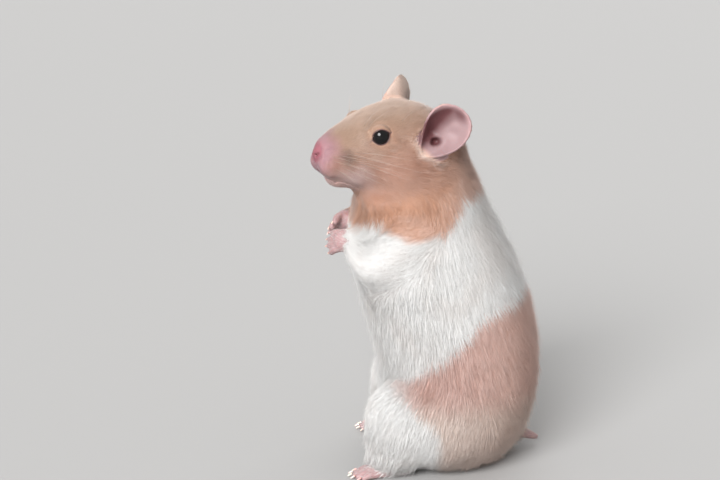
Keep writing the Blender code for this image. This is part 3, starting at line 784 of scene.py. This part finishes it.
def skin_material():
    """Under the coat it takes the coat's colour in shade; where it is bare it is pink, fine-grained skin."""
    made, tree, shader = new_material("skin", Subsurface_Weight=0.12)
    shader.inputs["Subsurface Radius"].default_value = (1.0, 0.35, 0.25)
    shader.inputs["Subsurface Scale"].default_value = 0.8 * MM
    place = tree.node("ShaderNodeTexCoord").outputs["Object"]
    bare, painted_shade, lid = (attribute(tree, name) for name in ("bare", "painted_shade", "lid_edge"))
    fur = markings_at(tree, place)["Colour"]
    fur = tree.vectors("MULTIPLY", fur, (0.68, 0.62, 0.60))
    blotch = tree.node("ShaderNodeTexNoise", {"Vector": place, "Scale": 520.0, "Detail": 3.0}).outputs[0]
    pink = tree.mix(blotch, PINK, PALE_PINK)
    inner = tree.maths("MULTIPLY", attribute(tree, "dish"), 0.8)
    pink = tree.mix(inner, pink, DISH_PINK)
    colour = tree.mix(bare, fur, pink)
    colour = tree.mix(tree.maths("MULTIPLY", attribute(tree, "nose_skin"), 0.9), colour, NOSE_PINK)
    # Painted shade in the nostrils, the mouth line and the ears' hollows.
    colour = tree.mix(tree.maths("MULTIPLY", painted_shade, 0.9), colour, PAINTED_SHADE_PINK)
    colour = tree.mix(lid, colour, LID_BROWN)
    tree.put(shader.inputs["Base Color"], colour)
    rough = tree.ramp(bare, 0.2, 1.0, 0.75, 0.5)
    tree.put(shader.inputs["Roughness"], tree.maths("SUBTRACT", rough, tree.maths("MULTIPLY", lid, 0.3)))
    grain = tree.node("ShaderNodeTexVoronoi", {"Vector": place, "Scale": 2600.0}).outputs["Distance"]
    fuzz = tree.node("ShaderNodeTexNoise", {"Vector": place, "Scale": 1700.0, "Detail": 4.0}).outputs[0]
    relief = tree.mix(bare, fuzz, grain)
    bump = tree.node("ShaderNodeBump", {"Height": relief, "Strength": 0.35, "Distance": 0.12 * MM})
    tree.put(shader.inputs["Normal"], bump.outputs["Normal"])
    return made


def eye_material():
    """Near black, with a dark brown iris that hardly shows, under a wet surface."""
    made, tree, shader = new_material("eye", Roughness=0.06, IOR=1.38)
    look = attribute(tree, "look")
    ring = tree.ramp(look, 0.72, 0.80)
    fibres = tree.node("ShaderNodeTexNoise", {"Scale": 900.0, "Detail": 2.0})
    tree.put(fibres.inputs["Vector"], tree.node("ShaderNodeTexCoord").outputs["Object"])
    iris = tree.mix(fibres.outputs[0], IRIS_DARK, IRIS_LIGHT)
    tree.put(shader.inputs["Base Color"], tree.mix(ring, iris, PUPIL))
    return made


def claw_material():
    made, tree, shader = new_material("claw", Roughness=0.32, Coat_Weight=0.3, Subsurface_Weight=0.2)
    shader.inputs["Subsurface Scale"].default_value = 0.5 * MM
    tip = attribute(tree, "tip")
    place = tree.node("ShaderNodeTexCoord").outputs["Object"]
    streak = tree.node("ShaderNodeTexNoise", {"Vector": place, "Scale": 2400.0, "Detail": 2.0}).outputs[0]
    horn = tree.mix(tree.ramp(tip, 0.1, 0.7), CLAW_ROOT, CLAW_TIP)
    horn = tree.mix(tree.ramp(streak, 0.4, 0.7, 0.0, 0.4), horn, CLAW_STREAK)
    tree.put(shader.inputs["Base Color"], horn)
    tree.put(shader.inputs["Roughness"], tree.ramp(streak, 0.3, 0.7, 0.26, 0.42))
    return made


def whisker_material():
    made, tree, shader = new_material("whisker", Roughness=0.4)
    tip = attribute(tree, "along")
    tree.put(shader.inputs["Base Color"], tree.mix(tip, WHISKER_ROOT, WHISKER_TIP))
    return made


# ---------------------------------------------------------------- the coat

TUFTS_PER_AREA = 31.5  # tufts for each tuft's own area, before the overlap is counted
MOST_TUFTS = 30.0  # for each square millimetre
FULLNESS = 0.9
PATCH = 0.003  # size of a tuft's patch on its piece's map
FIRST_SEED = 11  # each piece of the coat has its own seed, a step on from the last
SEED_STEP = 7
WORKING_VALUES = ("zone", "unwrap", "width", "thick", "lie")
SKIN_VALUES = ("dish", "haired", "bare", "lid_edge", "painted_shade", "nose_skin")
TUFT_VALUES = ("root", "way", "upright", "long", "lift", "corner")


def face_middles(mesh):
    return rows_of(mesh.polygons, "center", 3).astype(float)


def coat_zones(mesh, centres, owners):
    """Parts the skin's faces among the pieces of the coat. Returns the zone of each face and the zones."""
    part = np.array([part_of(name) for name in FLESH])[owners]
    left, behind = head_places(centres)[:2]
    height = centres[:, 2] / MM
    turn = np.degrees(np.arctan2(centres[:, 0], -centres[:, 1] + 5 * MM))
    trunk = part == "trunk"
    head = np.isin(part, ("head", "lower_jaw", "nose"))
    rows = {
        "muzzle": head & (behind < 17),
        "left_cheek": head & (behind >= 17) & (left >= 0),
        "right_cheek": head & (behind >= 17) & (left < 0),
        "ears": part == "ear",
        "paws": np.isin(part, ("forepaw", "hind_foot", "tail")),
        "neck": part == "neck",
        "forelegs": part == "foreleg",
        "left_haunch": (part == "hind_leg") & (centres[:, 0] > 0),
        "right_haunch": (part == "hind_leg") & (centres[:, 0] <= 0),
        "chest": trunk & (np.abs(turn) < 60) & (height >= 48),
        "belly": trunk & (np.abs(turn) < 60) & (height < 48),
        "left_flank": trunk & (turn >= 60) & (turn < 128),
        "right_flank": trunk & (turn <= -60) & (turn > -128),
        "back": trunk & (np.abs(turn) >= 128) & (height >= 42),
        "rump": trunk & (np.abs(turn) >= 128) & (height < 42),
    }
    zone = np.full(len(centres), -1)
    for index, chosen in enumerate(rows.values()):
        zone[chosen] = index
    return zone, list(rows)


# The parts that share one piece of the coat. Its map has a tile for each, in this order.
TILES = {
    "ears": ("ear_left", "ear_right"),
    "paws": ("forepaw_left", "forepaw_right", "hind_foot_left", "hind_foot_right", "tail"),
    "forelegs": ("foreleg_left", "foreleg_right"),
}


def unwrap(mesh, centres, owners, zone, names):
    """A place on its piece's map for each face corner: the piece is rolled out round its own long axis."""
    loops = rows_of(mesh.loops, "vertex_index", 1, np.int32)
    points = rows_of(mesh.vertices, "co", 3).astype(float)
    of_face = np.repeat(np.arange(len(centres)), rows_of(mesh.polygons, "loop_total", 1, np.int32))
    normals = rows_of(mesh.polygons, "normal", 3).astype(float)
    placed = np.zeros((len(loops), 3))
    for index, name in enumerate(names):
        shares = TILES.get(name, (None,))
        for tile, node in enumerate(shares):
            chosen = zone == index
            if node:
                chosen &= owners == FLESH.index(node)
            if not chosen.any():
                continue
            centre = centres[chosen].mean(0)
            axis = np.array((0, 0, 1.0))
            if name == "muzzle":
                axis = np.array(HEAD_BACK, float)
            elif "cheek" in name:
                axis = np.array(HEAD_UP, float)
            elif node == "tail" or node and node.startswith("hind_foot"):
                axis = np.array((0, 1.0, 0))
            front = normals[chosen].mean(0)
            front -= axis * (front @ axis)
            front /= np.linalg.norm(front)
            side = np.cross(axis, front)
            middle_turn = np.arctan2((centres - centre) @ side, (centres - centre) @ front)
            picked = chosen[of_face]
            offset = points[loops[picked]] - centre
            turn = np.arctan2(offset @ side, offset @ front)
            base = middle_turn[of_face[picked]]
            turn = base + (turn - base + np.pi) % (2 * np.pi) - np.pi
            run = offset @ axis
            u = (turn - turn.min()) / np.ptp(turn)
            v = (run - run.min()) / np.ptp(run)
            placed[picked, 0] = 0.01 + 0.98 * (tile + 0.01 + 0.98 * u) / len(shares)
            placed[picked, 1] = 0.01 + 0.98 * v
    return placed


def plan_coat(skin):
    """Stores the coat's zones, the number and width of its tufts and their places on maps on the skin."""
    mesh = skin.data
    centres = face_middles(mesh)
    owners = nearest_parts(centres)
    zone, names = coat_zones(mesh, centres, owners)
    kept = mesh.attributes.new("zone", "INT", "FACE")
    kept.data.foreach_set("value", zone.astype(np.int32))
    kept = mesh.attributes.new("unwrap", "FLOAT_VECTOR", "CORNER")
    placed = unwrap(mesh, centres, owners, zone, names)
    kept.data.foreach_set("vector", placed.astype(np.float32).ravel())
    points = rows_of(mesh.vertices, "co", 3).astype(float)
    hair = rows_of(mesh.attributes["hair"].data, "value", 1) / MM
    bare = rows_of(mesh.attributes["bare"].data, "value", 1)
    lid = rows_of(mesh.attributes["lid_edge"].data, "value", 1)
    painted_shade = rows_of(mesh.attributes["painted_shade"].data, "value", 1)
    width = 0.065 + 0.025 * hair
    thick = np.minimum(MOST_TUFTS, TUFTS_PER_AREA / (hair * (0.15 + 0.022 * hair)))
    for centre in EYES.values():
        from_eye = np.linalg.norm(points - np.array(centre), axis=1)
        thick *= smoothstep(0.98 * EYE_RADIUS, 1.05 * EYE_RADIUS, from_eye)
    from_nose = np.linalg.norm(points - np.array(NOSE), axis=1) / MM
    thick *= smoothstep(2.2, 4.5, from_nose) * (1 - 0.92 * bare) * (1 - np.clip(painted_shade * 1.5, 0, 1)) * (1 - lid)
    thick *= rows_of(mesh.attributes["haired"].data, "value", 1)
    store(mesh, "width", "FLOAT", width * MM)
    store(mesh, "thick", "FLOAT", thick / MM**2)
    return names


def coat_tree():
    """Geometry nodes that root tapered tufts in a zone of the skin and lay them along the lie of the coat."""
    inputs = {
        "Geometry": ("Geometry", None),
        "Zone": ("Int", 0),
        "Seed": ("Int", 1),
        "Fullness": ("Float", 1.0),
        "Tip Height": ("Float", TIP_HEIGHT),
        "Swirl": ("Float", 0.35),
        "Lock Size": ("Float", 0.004),
        "Patch": ("Float", PATCH),
        "Material": ("Material", None),
    }
    tree, given, leave = group_tree("Coat", "GeometryNodeTree", inputs, {"Geometry": "Geometry"})
    stored = stored_in(tree)

    def keep(geometry, name, kind, value, domain="POINT"):
        inputs = {"Geometry": geometry, "Name": name, "Value": value}
        made = tree.node("GeometryNodeStoreNamedAttribute", inputs, data_type=kind, domain=domain)
        return made.outputs["Geometry"]

    def chance(low, high, seed):
        """A random number for each tuft."""
        inputs = {2: low, 3: high, "Seed": tree.maths("ADD", given["Seed"], seed)}
        return tree.node("FunctionNodeRandomValue", inputs, data_type="FLOAT").outputs[1]

    position = tree.node("GeometryNodeInputPosition").outputs[0]
    here = tree.node("FunctionNodeCompare", {2: stored("zone", "INT"), 3: given["Zone"]}, data_type="INT")
    here.operation = "EQUAL"
    density = tree.maths("MULTIPLY", stored("thick"), given["Fullness"])
    inputs = {"Mesh": given["Geometry"], "Density": density, "Seed": given["Seed"]}
    roots = tree.node("GeometryNodeDistributePointsOnFaces", inputs)
    tree.put(roots.inputs["Selection"], here.outputs[0])
    upright = roots.outputs["Normal"]

    # The way each tuft lies: the lie of the coat, turned a little by its lock and by chance.
    locks = tree.node("ShaderNodeTexNoise", {"Vector": position, "Detail": 2.0})
    tree.put(locks.inputs["Scale"], tree.maths("DIVIDE", 1.0, given["Lock Size"]))
    sway = tree.vectors("SUBTRACT", locks.outputs["Color"], (0.5, 0.5, 0.5))
    sway = tree.scaled(sway, tree.maths("MULTIPLY", given["Swirl"], 2.0))
    inputs = {0: (-0.12, -0.12, -0.12), 1: (0.12, 0.12, 0.12), "Seed": given["Seed"]}
    own = tree.node("FunctionNodeRandomValue", inputs, data_type="FLOAT_VECTOR").outputs[0]
    way = tree.vectors("ADD", tree.vectors("ADD", stored("lie", "FLOAT_VECTOR"), sway), own)
    way = tree.vectors("SUBTRACT", way, tree.scaled(upright, tree.vectors("DOT_PRODUCT", way, upright)))
    way = tree.vectors("NORMALIZE", way)

    points = keep(roots.outputs["Points"], "root", "FLOAT_VECTOR", position)
    points = keep(points, "upright", "FLOAT_VECTOR", upright)
    points = keep(points, "way", "FLOAT_VECTOR", way)
    points = keep(points, "long", "FLOAT", tree.maths("MULTIPLY", stored("hair"), chance(0.72, 1.12, 1)))
    lift = tree.maths("MULTIPLY", chance(0.4, 1.1, 2), tree.ramp(locks.outputs[0], 0.3, 0.7, 0.75, 1.1))
    to_middle = tree.scaled(way, tree.maths("MULTIPLY", stored("hair"), 0.6))
    points = keep(points, "tint_place", "FLOAT_VECTOR", tree.vectors("ADD", position, to_middle))
    lift = tree.maths("ADD", lift, tree.maths("MULTIPLY", tree.maths("POWER", chance(0.0, 1.0, 5), 9.0), 0.8))
    points = keep(points, "lift", "FLOAT", tree.maths("MULTIPLY", lift, given["Tip Height"]))
    points = keep(points, "shade", "FLOAT", chance(0.0, 1.0, 3))
    wide = tree.maths("MULTIPLY", stored("width"), chance(0.8, 1.2, 4))

    # One tuft: a closed three-sided blade that narrows from its root to its tip.
    inputs = {"Vertices": 3, "Side Segments": 1, "Radius Top": 0.0, "Radius Bottom": 1.0, "Depth": 1.0}
    blade = tree.node("GeometryNodeMeshCone", inputs).outputs["Mesh"]
    level = tree.node("ShaderNodeSeparateXYZ", {0: position}).outputs["Z"]
    blade = keep(blade, "along", "FLOAT", level)
    across = tree.node("ShaderNodeSeparateXYZ", {0: position}).outputs["Y"]
    corner = tree.node("ShaderNodeCombineXYZ", {0: tree.maths("MULTIPLY", across, 0.5), 1: level}).outputs[0]
    blade = keep(blade, "corner", "FLOAT_VECTOR", tree.vectors("SUBTRACT", corner, (0.0, 0.5, 0.0)))

    inputs = {0: stored("way", "FLOAT_VECTOR"), 1: stored("upright", "FLOAT_VECTOR")}
    turn = tree.node("FunctionNodeAxesToRotation", inputs)
    inputs = {0: tree.maths("MULTIPLY", wide, 0.22), 1: tree.maths("MULTIPLY", wide, 0.5), 2: stored("long")}
    size = tree.node("ShaderNodeCombineXYZ", inputs)
    inputs = {"Points": points, "Instance": blade, "Rotation": turn.outputs[0], "Scale": size.outputs[0]}
    tufts = tree.node("GeometryNodeInstanceOnPoints", inputs).outputs[0]
    tufts = tree.node("GeometryNodeRealizeInstances", {0: tufts}).outputs[0]

    # Lay each tuft over the skin's own curve: its middle line keeps a height over the nearest skin.
    along = stored("along")
    reach = tree.maths("MULTIPLY", stored("long"), along)
    along_way = tree.scaled(stored("way", "FLOAT_VECTOR"), reach)
    line = tree.vectors("ADD", stored("root", "FLOAT_VECTOR"), along_way)
    inputs = {0: given["Geometry"], "Sample Position": line}
    under = tree.node("GeometryNodeProximity", inputs, target_element="FACES").outputs["Position"]
    rise = tree.maths("MULTIPLY", reach, tree.maths("SUBTRACT", 2.0, along))
    rise = tree.maths("MULTIPLY", rise, stored("lift"))
    over = tree.vectors("ADD", under, tree.scaled(stored("upright", "FLOAT_VECTOR"), rise))
    move = tree.vectors("SUBTRACT", over, line)
    most = tree.maths("MULTIPLY", reach, 0.75)
    share = tree.maths("DIVIDE", most, tree.maths("MAXIMUM", tree.vectors("LENGTH", move), 0.00001))
    move = tree.scaled(move, tree.maths("MINIMUM", share, 1.0))
    tufts = tree.node("GeometryNodeSetPosition", {"Geometry": tufts, "Offset": move}).outputs[0]
    laid = tree.node("ShaderNodeSeparateXYZ", {0: position}).outputs
    above_floor = tree.maths("MAXIMUM", laid["Z"], 0.05 * MM)
    above_floor = tree.node("ShaderNodeCombineXYZ", {0: laid["X"], 1: laid["Y"], 2: above_floor}).outputs[0]
    tufts = tree.node("GeometryNodeSetPosition", {"Geometry": tufts, "Position": above_floor}).outputs[0]

    spread = tree.scaled(stored("corner", "FLOAT_VECTOR"), given["Patch"])
    place = tree.vectors("ADD", stored("unwrap", "FLOAT_VECTOR"), spread)
    tufts = keep(tufts, "OFBake", "FLOAT2", place, "CORNER")
    tufts = tree.node("GeometryNodeSetShadeSmooth", {"Geometry": tufts}).outputs[0]
    normal = tree.node("GeometryNodeInputNormal").outputs[0]
    inputs = {0: stored("shade"), 1: tree.maths("MULTIPLY", stored("shade"), 7.0)}
    strand = tree.node("ShaderNodeCombineXYZ", inputs)
    strand = tree.vectors("ADD", stored("corner", "FLOAT_VECTOR"), tree.scaled(strand.outputs[0], 40.0))
    tufts = keep(tufts, "strand", "FLOAT_VECTOR", strand)
    soft = tree.vectors("ADD", tree.scaled(stored("upright", "FLOAT_VECTOR"), 2.2), normal)
    inputs = {"Mesh": tufts, "Custom Normal": tree.vectors("NORMALIZE", soft)}
    tufts = tree.node("GeometryNodeSetMeshNormal", inputs, mode="FREE", domain="POINT").outputs[0]
    tufts = tree.node("GeometryNodeSetMaterial", {0: tufts, "Material": given["Material"]}).outputs[0]
    tree.put(leave.inputs[0], tufts)
    return tree.tree


def run_tree(name, mesh, tree, values):
    """A plain mesh object made by a geometry node tree from a mesh and the tree's named inputs."""
    item = add_object(name, mesh)
    modifier = item.modifiers.new("nodes", "NODES")
    modifier.node_group = tree
    for socket in tree.interface.items_tree:
        if socket.item_type == "SOCKET" and socket.in_out == "INPUT" and socket.name in values:
            modifier[socket.identifier] = values[socket.name]
    apply_modifiers(item)
    item.data.name = name
    return item


def build_coat(skin, finish):
    names = plan_coat(skin)
    tree = coat_tree()
    pieces = []
    for index, name in enumerate(names):
        seed = FIRST_SEED + SEED_STEP * index
        values = {"Zone": index, "Seed": seed, "Fullness": FULLNESS, "Material": finish}
        piece = run_tree(f"coat_{name}", skin.data, tree, values)
        drop(piece.data, WORKING_VALUES + SKIN_VALUES + TUFT_VALUES)
        pieces.append(piece)
    return pieces


# ---------------------------------------------------------------- eyes, claws and whiskers


def build_eye(side, finish):
    """A finer ball for the eye, a little fuller over the pupil."""
    shape = bmesh.new()
    bmesh.ops.create_icosphere(shape, subdivisions=5, radius=EYE_RADIUS)
    outward = eye_axes(side)[0]
    looks = []
    for point in shape.verts:
        look = point.co.normalized().dot(outward)
        bulge = 1 + 0.05 * max(0.0, look) ** 4
        point.co = point.co * bulge + EYES[side]
        looks.append(look)
    mesh = bpy.data.meshes.new(f"eyeball_{side}")
    shape.to_mesh(mesh)
    shape.free()
    store(mesh, "look", "FLOAT", np.array(looks))
    mesh.shade_smooth()
    mesh.materials.append(finish)
    item = add_object(f"eyeball_{side}", mesh)
    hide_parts(f"eye_{side}")
    return item


def build_claws(paw, finish):
    """The claws of one paw, rounder and smoother than the solids, with a mark of how near the tip is."""
    kind = "foreclaw" if paw.startswith("forepaw") else "hindclaw"
    side = paw.rsplit("_", 1)[1]
    nodes = [name for name in CLAWS if name.startswith(f"{kind}_{side}")]
    shape = bmesh.new()
    for name in nodes:
        shape.from_mesh(NODES[name].data)
    bmesh.ops.remove_doubles(shape, verts=shape.verts, dist=0.001 * MM)
    mesh = bpy.data.meshes.new(f"claws_{paw}")
    shape.to_mesh(mesh)
    shape.free()
    item = add_object(f"claws_{paw}", mesh)
    smooth = item.modifiers.new("smooth", "SUBSURF")
    smooth.levels = smooth.render_levels = 2
    apply_modifiers(item)
    mesh = item.data
    mesh.name = f"claws_{paw}"
    points = rows_of(mesh.vertices, "co", 3)
    away = np.linalg.norm(points - np.array(middle(paw)), axis=1)
    store(mesh, "tip", "FLOAT", smoothstep(np.quantile(away, 0.05), away.max(), away))
    mesh.shade_smooth()
    mesh.materials.clear()
    mesh.materials.append(finish)
    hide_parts(*nodes)
    return item


# Rows on the pad: the height above the nose, places behind the nose and lengths, all in millimetres.
WHISKER_ROWS = (
    (-1.6, (3.0, 4.8, 6.8, 9.0), (9.0, 13.0, 17.0, 19.0)),
    (-3.2, (2.6, 4.4, 6.4, 8.6), (9.0, 14.0, 18.5, 21.0)),
    (-4.8, (2.4, 4.2, 6.2, 8.2), (8.0, 12.0, 16.0, 18.0)),
    (-6.2, (3.6, 5.6), (7.0, 11.0)),
)
BROW_WHISKERS = ((7.2, 14.5, 8.0), (8.6, 16.0, 10.0), (13.5, 27.0, 9.0))  # aside, behind, length
WHISKER_RADIUS = 0.055 * MM


def whisker_roots(skin):
    """A mesh of loose points, one at each whisker's root, with the way it grows and its length."""
    surface = skin.data
    tree = KDTree(len(surface.vertices))
    for point in surface.vertices:
        tree.insert(point.co, point.index)
    tree.balance()
    chance = np.random.default_rng(5)
    rows = []
    for side in SIDES.values():
        for up, places, lengths in WHISKER_ROWS:
            for back, length in zip(places, lengths):
                root = NOSE + (HEAD_LEFT * side * (3.0 + back * 0.75) + HEAD_BACK * back + HEAD_UP * up) * MM
                aim = HEAD_LEFT * side + HEAD_BACK * (0.15 + 0.06 * back) + HEAD_UP * (0.15 + 0.09 * up)
                rows.append((root, aim, length))
        for aside, back, length in BROW_WHISKERS:
            root = NOSE + (HEAD_LEFT * side * aside + HEAD_BACK * back + HEAD_UP * 6) * MM
            aim = HEAD_LEFT * side * 0.7 + HEAD_UP * 0.8 + HEAD_BACK * 0.5
            rows.append((root, aim, length))
    mesh = bpy.data.meshes.new("whisker_roots")
    found = [tree.find(root)[0] for root, _, _ in rows]
    mesh.from_pydata([tuple(point) for point in found], [], [])
    aims = [Vector(aim).normalized() + Vector(chance.uniform(-0.1, 0.1, 3)) for _, aim, _ in rows]
    store(mesh, "way", "FLOAT_VECTOR", np.array([aim.normalized() for aim in aims]))
    lengths = np.array([row[2] for row in rows]) * chance.uniform(0.85, 1.1, len(rows))
    store(mesh, "long", "FLOAT", lengths * MM)
    return mesh


def whisker_tree():
    """Geometry nodes for a tapered, bent hair on each point."""
    inputs = {
        "Geometry": ("Geometry", None),
        "Radius": ("Float", WHISKER_RADIUS),
        "Bend": ("Float", 0.22),
        "Material": ("Material", None),
    }
    tree, given, leave = group_tree("Whiskers", "GeometryNodeTree", inputs, {"Geometry": "Geometry"})
    stored = stored_in(tree)
    points = tree.node("GeometryNodeMeshToPoints", {"Mesh": given["Geometry"]}).outputs[0]
    line = tree.node("GeometryNodeCurvePrimitiveLine", {"Start": (0, 0, 0), "End": (0, 0, 1)}).outputs[0]
    line = tree.node("GeometryNodeResampleCurve", {"Curve": line, "Count": 12}).outputs[0]
    factor = tree.node("GeometryNodeSplineParameter").outputs[0]
    inputs = {"Geometry": line, "Name": "along", "Value": factor}
    line = tree.node("GeometryNodeStoreNamedAttribute", inputs, data_type="FLOAT").outputs[0]
    inputs = {0: stored("way", "FLOAT_VECTOR"), 1: (0, 0, 1)}
    turn = tree.node("FunctionNodeAxesToRotation", inputs).outputs[0]
    size = tree.node("ShaderNodeCombineXYZ", {0: 1.0, 1: 1.0, 2: stored("long")}).outputs[0]
    inputs = {"Points": points, "Instance": line, "Rotation": turn, "Scale": size}
    hairs = tree.node("GeometryNodeInstanceOnPoints", inputs).outputs[0]
    hairs = tree.node("GeometryNodeRealizeInstances", {0: hairs}).outputs[0]
    along = stored("along")
    bend = tree.maths("MULTIPLY", stored("long"), given["Bend"])
    sag = tree.maths("MULTIPLY", tree.maths("MULTIPLY", along, along), bend)
    fall = tree.scaled(tuple(HEAD_BACK * 0.6 - HEAD_UP * 0.8), sag)
    hairs = tree.node("GeometryNodeSetPosition", {"Geometry": hairs, "Offset": fall}).outputs[0]
    inputs = {"Resolution": 6, "Radius": given["Radius"]}
    ring = tree.node("GeometryNodeCurvePrimitiveCircle", inputs).outputs[0]
    taper = tree.maths("SUBTRACT", 1.0, tree.maths("MULTIPLY", along, 0.88))
    inputs = {"Curve": hairs, "Profile Curve": ring, "Scale": taper, "Fill Caps": True}
    hairs = tree.node("GeometryNodeCurveToMesh", inputs).outputs[0]
    hairs = tree.node("GeometryNodeSetShadeSmooth", {"Geometry": hairs}).outputs[0]
    hairs = tree.node("GeometryNodeSetMaterial", {0: hairs, "Material": given["Material"]}).outputs[0]
    tree.put(leave.inputs[0], hairs)
    return tree.tree


# ---------------------------------------------------------------- floor, lights and camera

CAMERA_AZIMUTH = 87
CAMERA_ELEVATION = 15
CAMERA_DISTANCE = 0.6
CAMERA_LENS = 89.6
CAMERA_AIM = (-19.7, -21.19, 4.93)  # from the middle of the animal
FLOOR_SIZE = 60
FLOOR_GREY = (0.37, 0.367, 0.364, 1)
SKY_COLOUR = (0.96, 0.95, 0.94, 1)
SKY_STRENGTH = 0.68


def build_stage():
    bpy.ops.mesh.primitive_plane_add(size=FLOOR_SIZE)
    floor = bpy.context.object
    floor.name = "floor"
    finish = bpy.data.materials.new("floor")
    finish.use_nodes = True
    shader = finish.node_tree.nodes["Principled BSDF"]
    shader.inputs["Base Color"].default_value = FLOOR_GREY
    shader.inputs["Roughness"].default_value = 0.8
    floor.data.materials.append(finish)
    world = bpy.data.worlds.new("studio")
    world.use_nodes = True
    sky = world.node_tree.nodes["Background"]
    sky.inputs["Color"].default_value = SKY_COLOUR
    sky.inputs["Strength"].default_value = SKY_STRENGTH
    bpy.context.scene.world = world
    bpy.context.scene.view_settings.view_transform = "Standard"


def soft_sun(name, azimuth, elevation, spread, strength):
    """A light from far away and from a wide patch of the sky, so that the floor is evenly lit."""
    light = bpy.data.lights.new(name, "SUN")
    light.angle = math.radians(spread)
    light.energy = strength
    item = bpy.data.objects.new(name, light)
    bpy.context.scene.collection.objects.link(item)
    aim_at(item, azimuth, elevation, 1.0, (CAD_BOX[0] + CAD_BOX[1]) / 2)


def aim_at(item, azimuth, elevation, distance, target):
    """Places something round the animal, looking at a point. Azimuth 0 is in front of it, 90 on its left."""
    turn, rise = math.radians(azimuth), math.radians(elevation)
    back = Vector((math.sin(turn) * math.cos(rise), -math.cos(turn) * math.cos(rise), math.sin(rise)))
    item.location = Vector(target) + back * distance
    item.rotation_mode = "QUATERNION"
    item.rotation_quaternion = (-back).to_track_quat("-Z", "Y")


def build_camera():
    data = bpy.data.cameras.new("camera")
    data.sensor_width = 36
    data.lens = CAMERA_LENS
    data.clip_start = 0.01
    item = bpy.data.objects.new("camera", data)
    bpy.context.scene.collection.objects.link(item)
    aim = (CAD_BOX[0] + CAD_BOX[1]) / 2 + Vector(CAMERA_AIM) * MM
    aim_at(item, CAMERA_AZIMUTH, CAMERA_ELEVATION, CAMERA_DISTANCE, aim)
    bpy.context.scene.camera = item


build_stage()
soft_sun("key", azimuth=64, elevation=32, spread=32, strength=4.5)
soft_sun("fill", azimuth=250, elevation=38, spread=60, strength=0.9)
build_camera()


# ---------------------------------------------------------------- putting it together


def build_hamster():
    skin = build_skin()
    finish = skin_material()
    skin.data.materials.clear()
    skin.data.materials.append(finish)
    coat = build_coat(skin, coat_material())
    whiskers = run_tree("whiskers", whisker_roots(skin), whisker_tree(), {"Material": whisker_material()})
    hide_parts(*FLESH)
    eye = eye_material()
    claw = claw_material()
    pieces = [skin, whiskers, *coat]
    pieces += [build_eye(side, eye) for side in SIDES]
    pieces += [build_claws(f"{paw}_{side}", claw) for paw in ("forepaw", "hind_foot") for side in SIDES]
    for piece in pieces:
        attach(piece, "root")
    drop(skin.data, (*WORKING_VALUES, "hair"))


build_hamster()
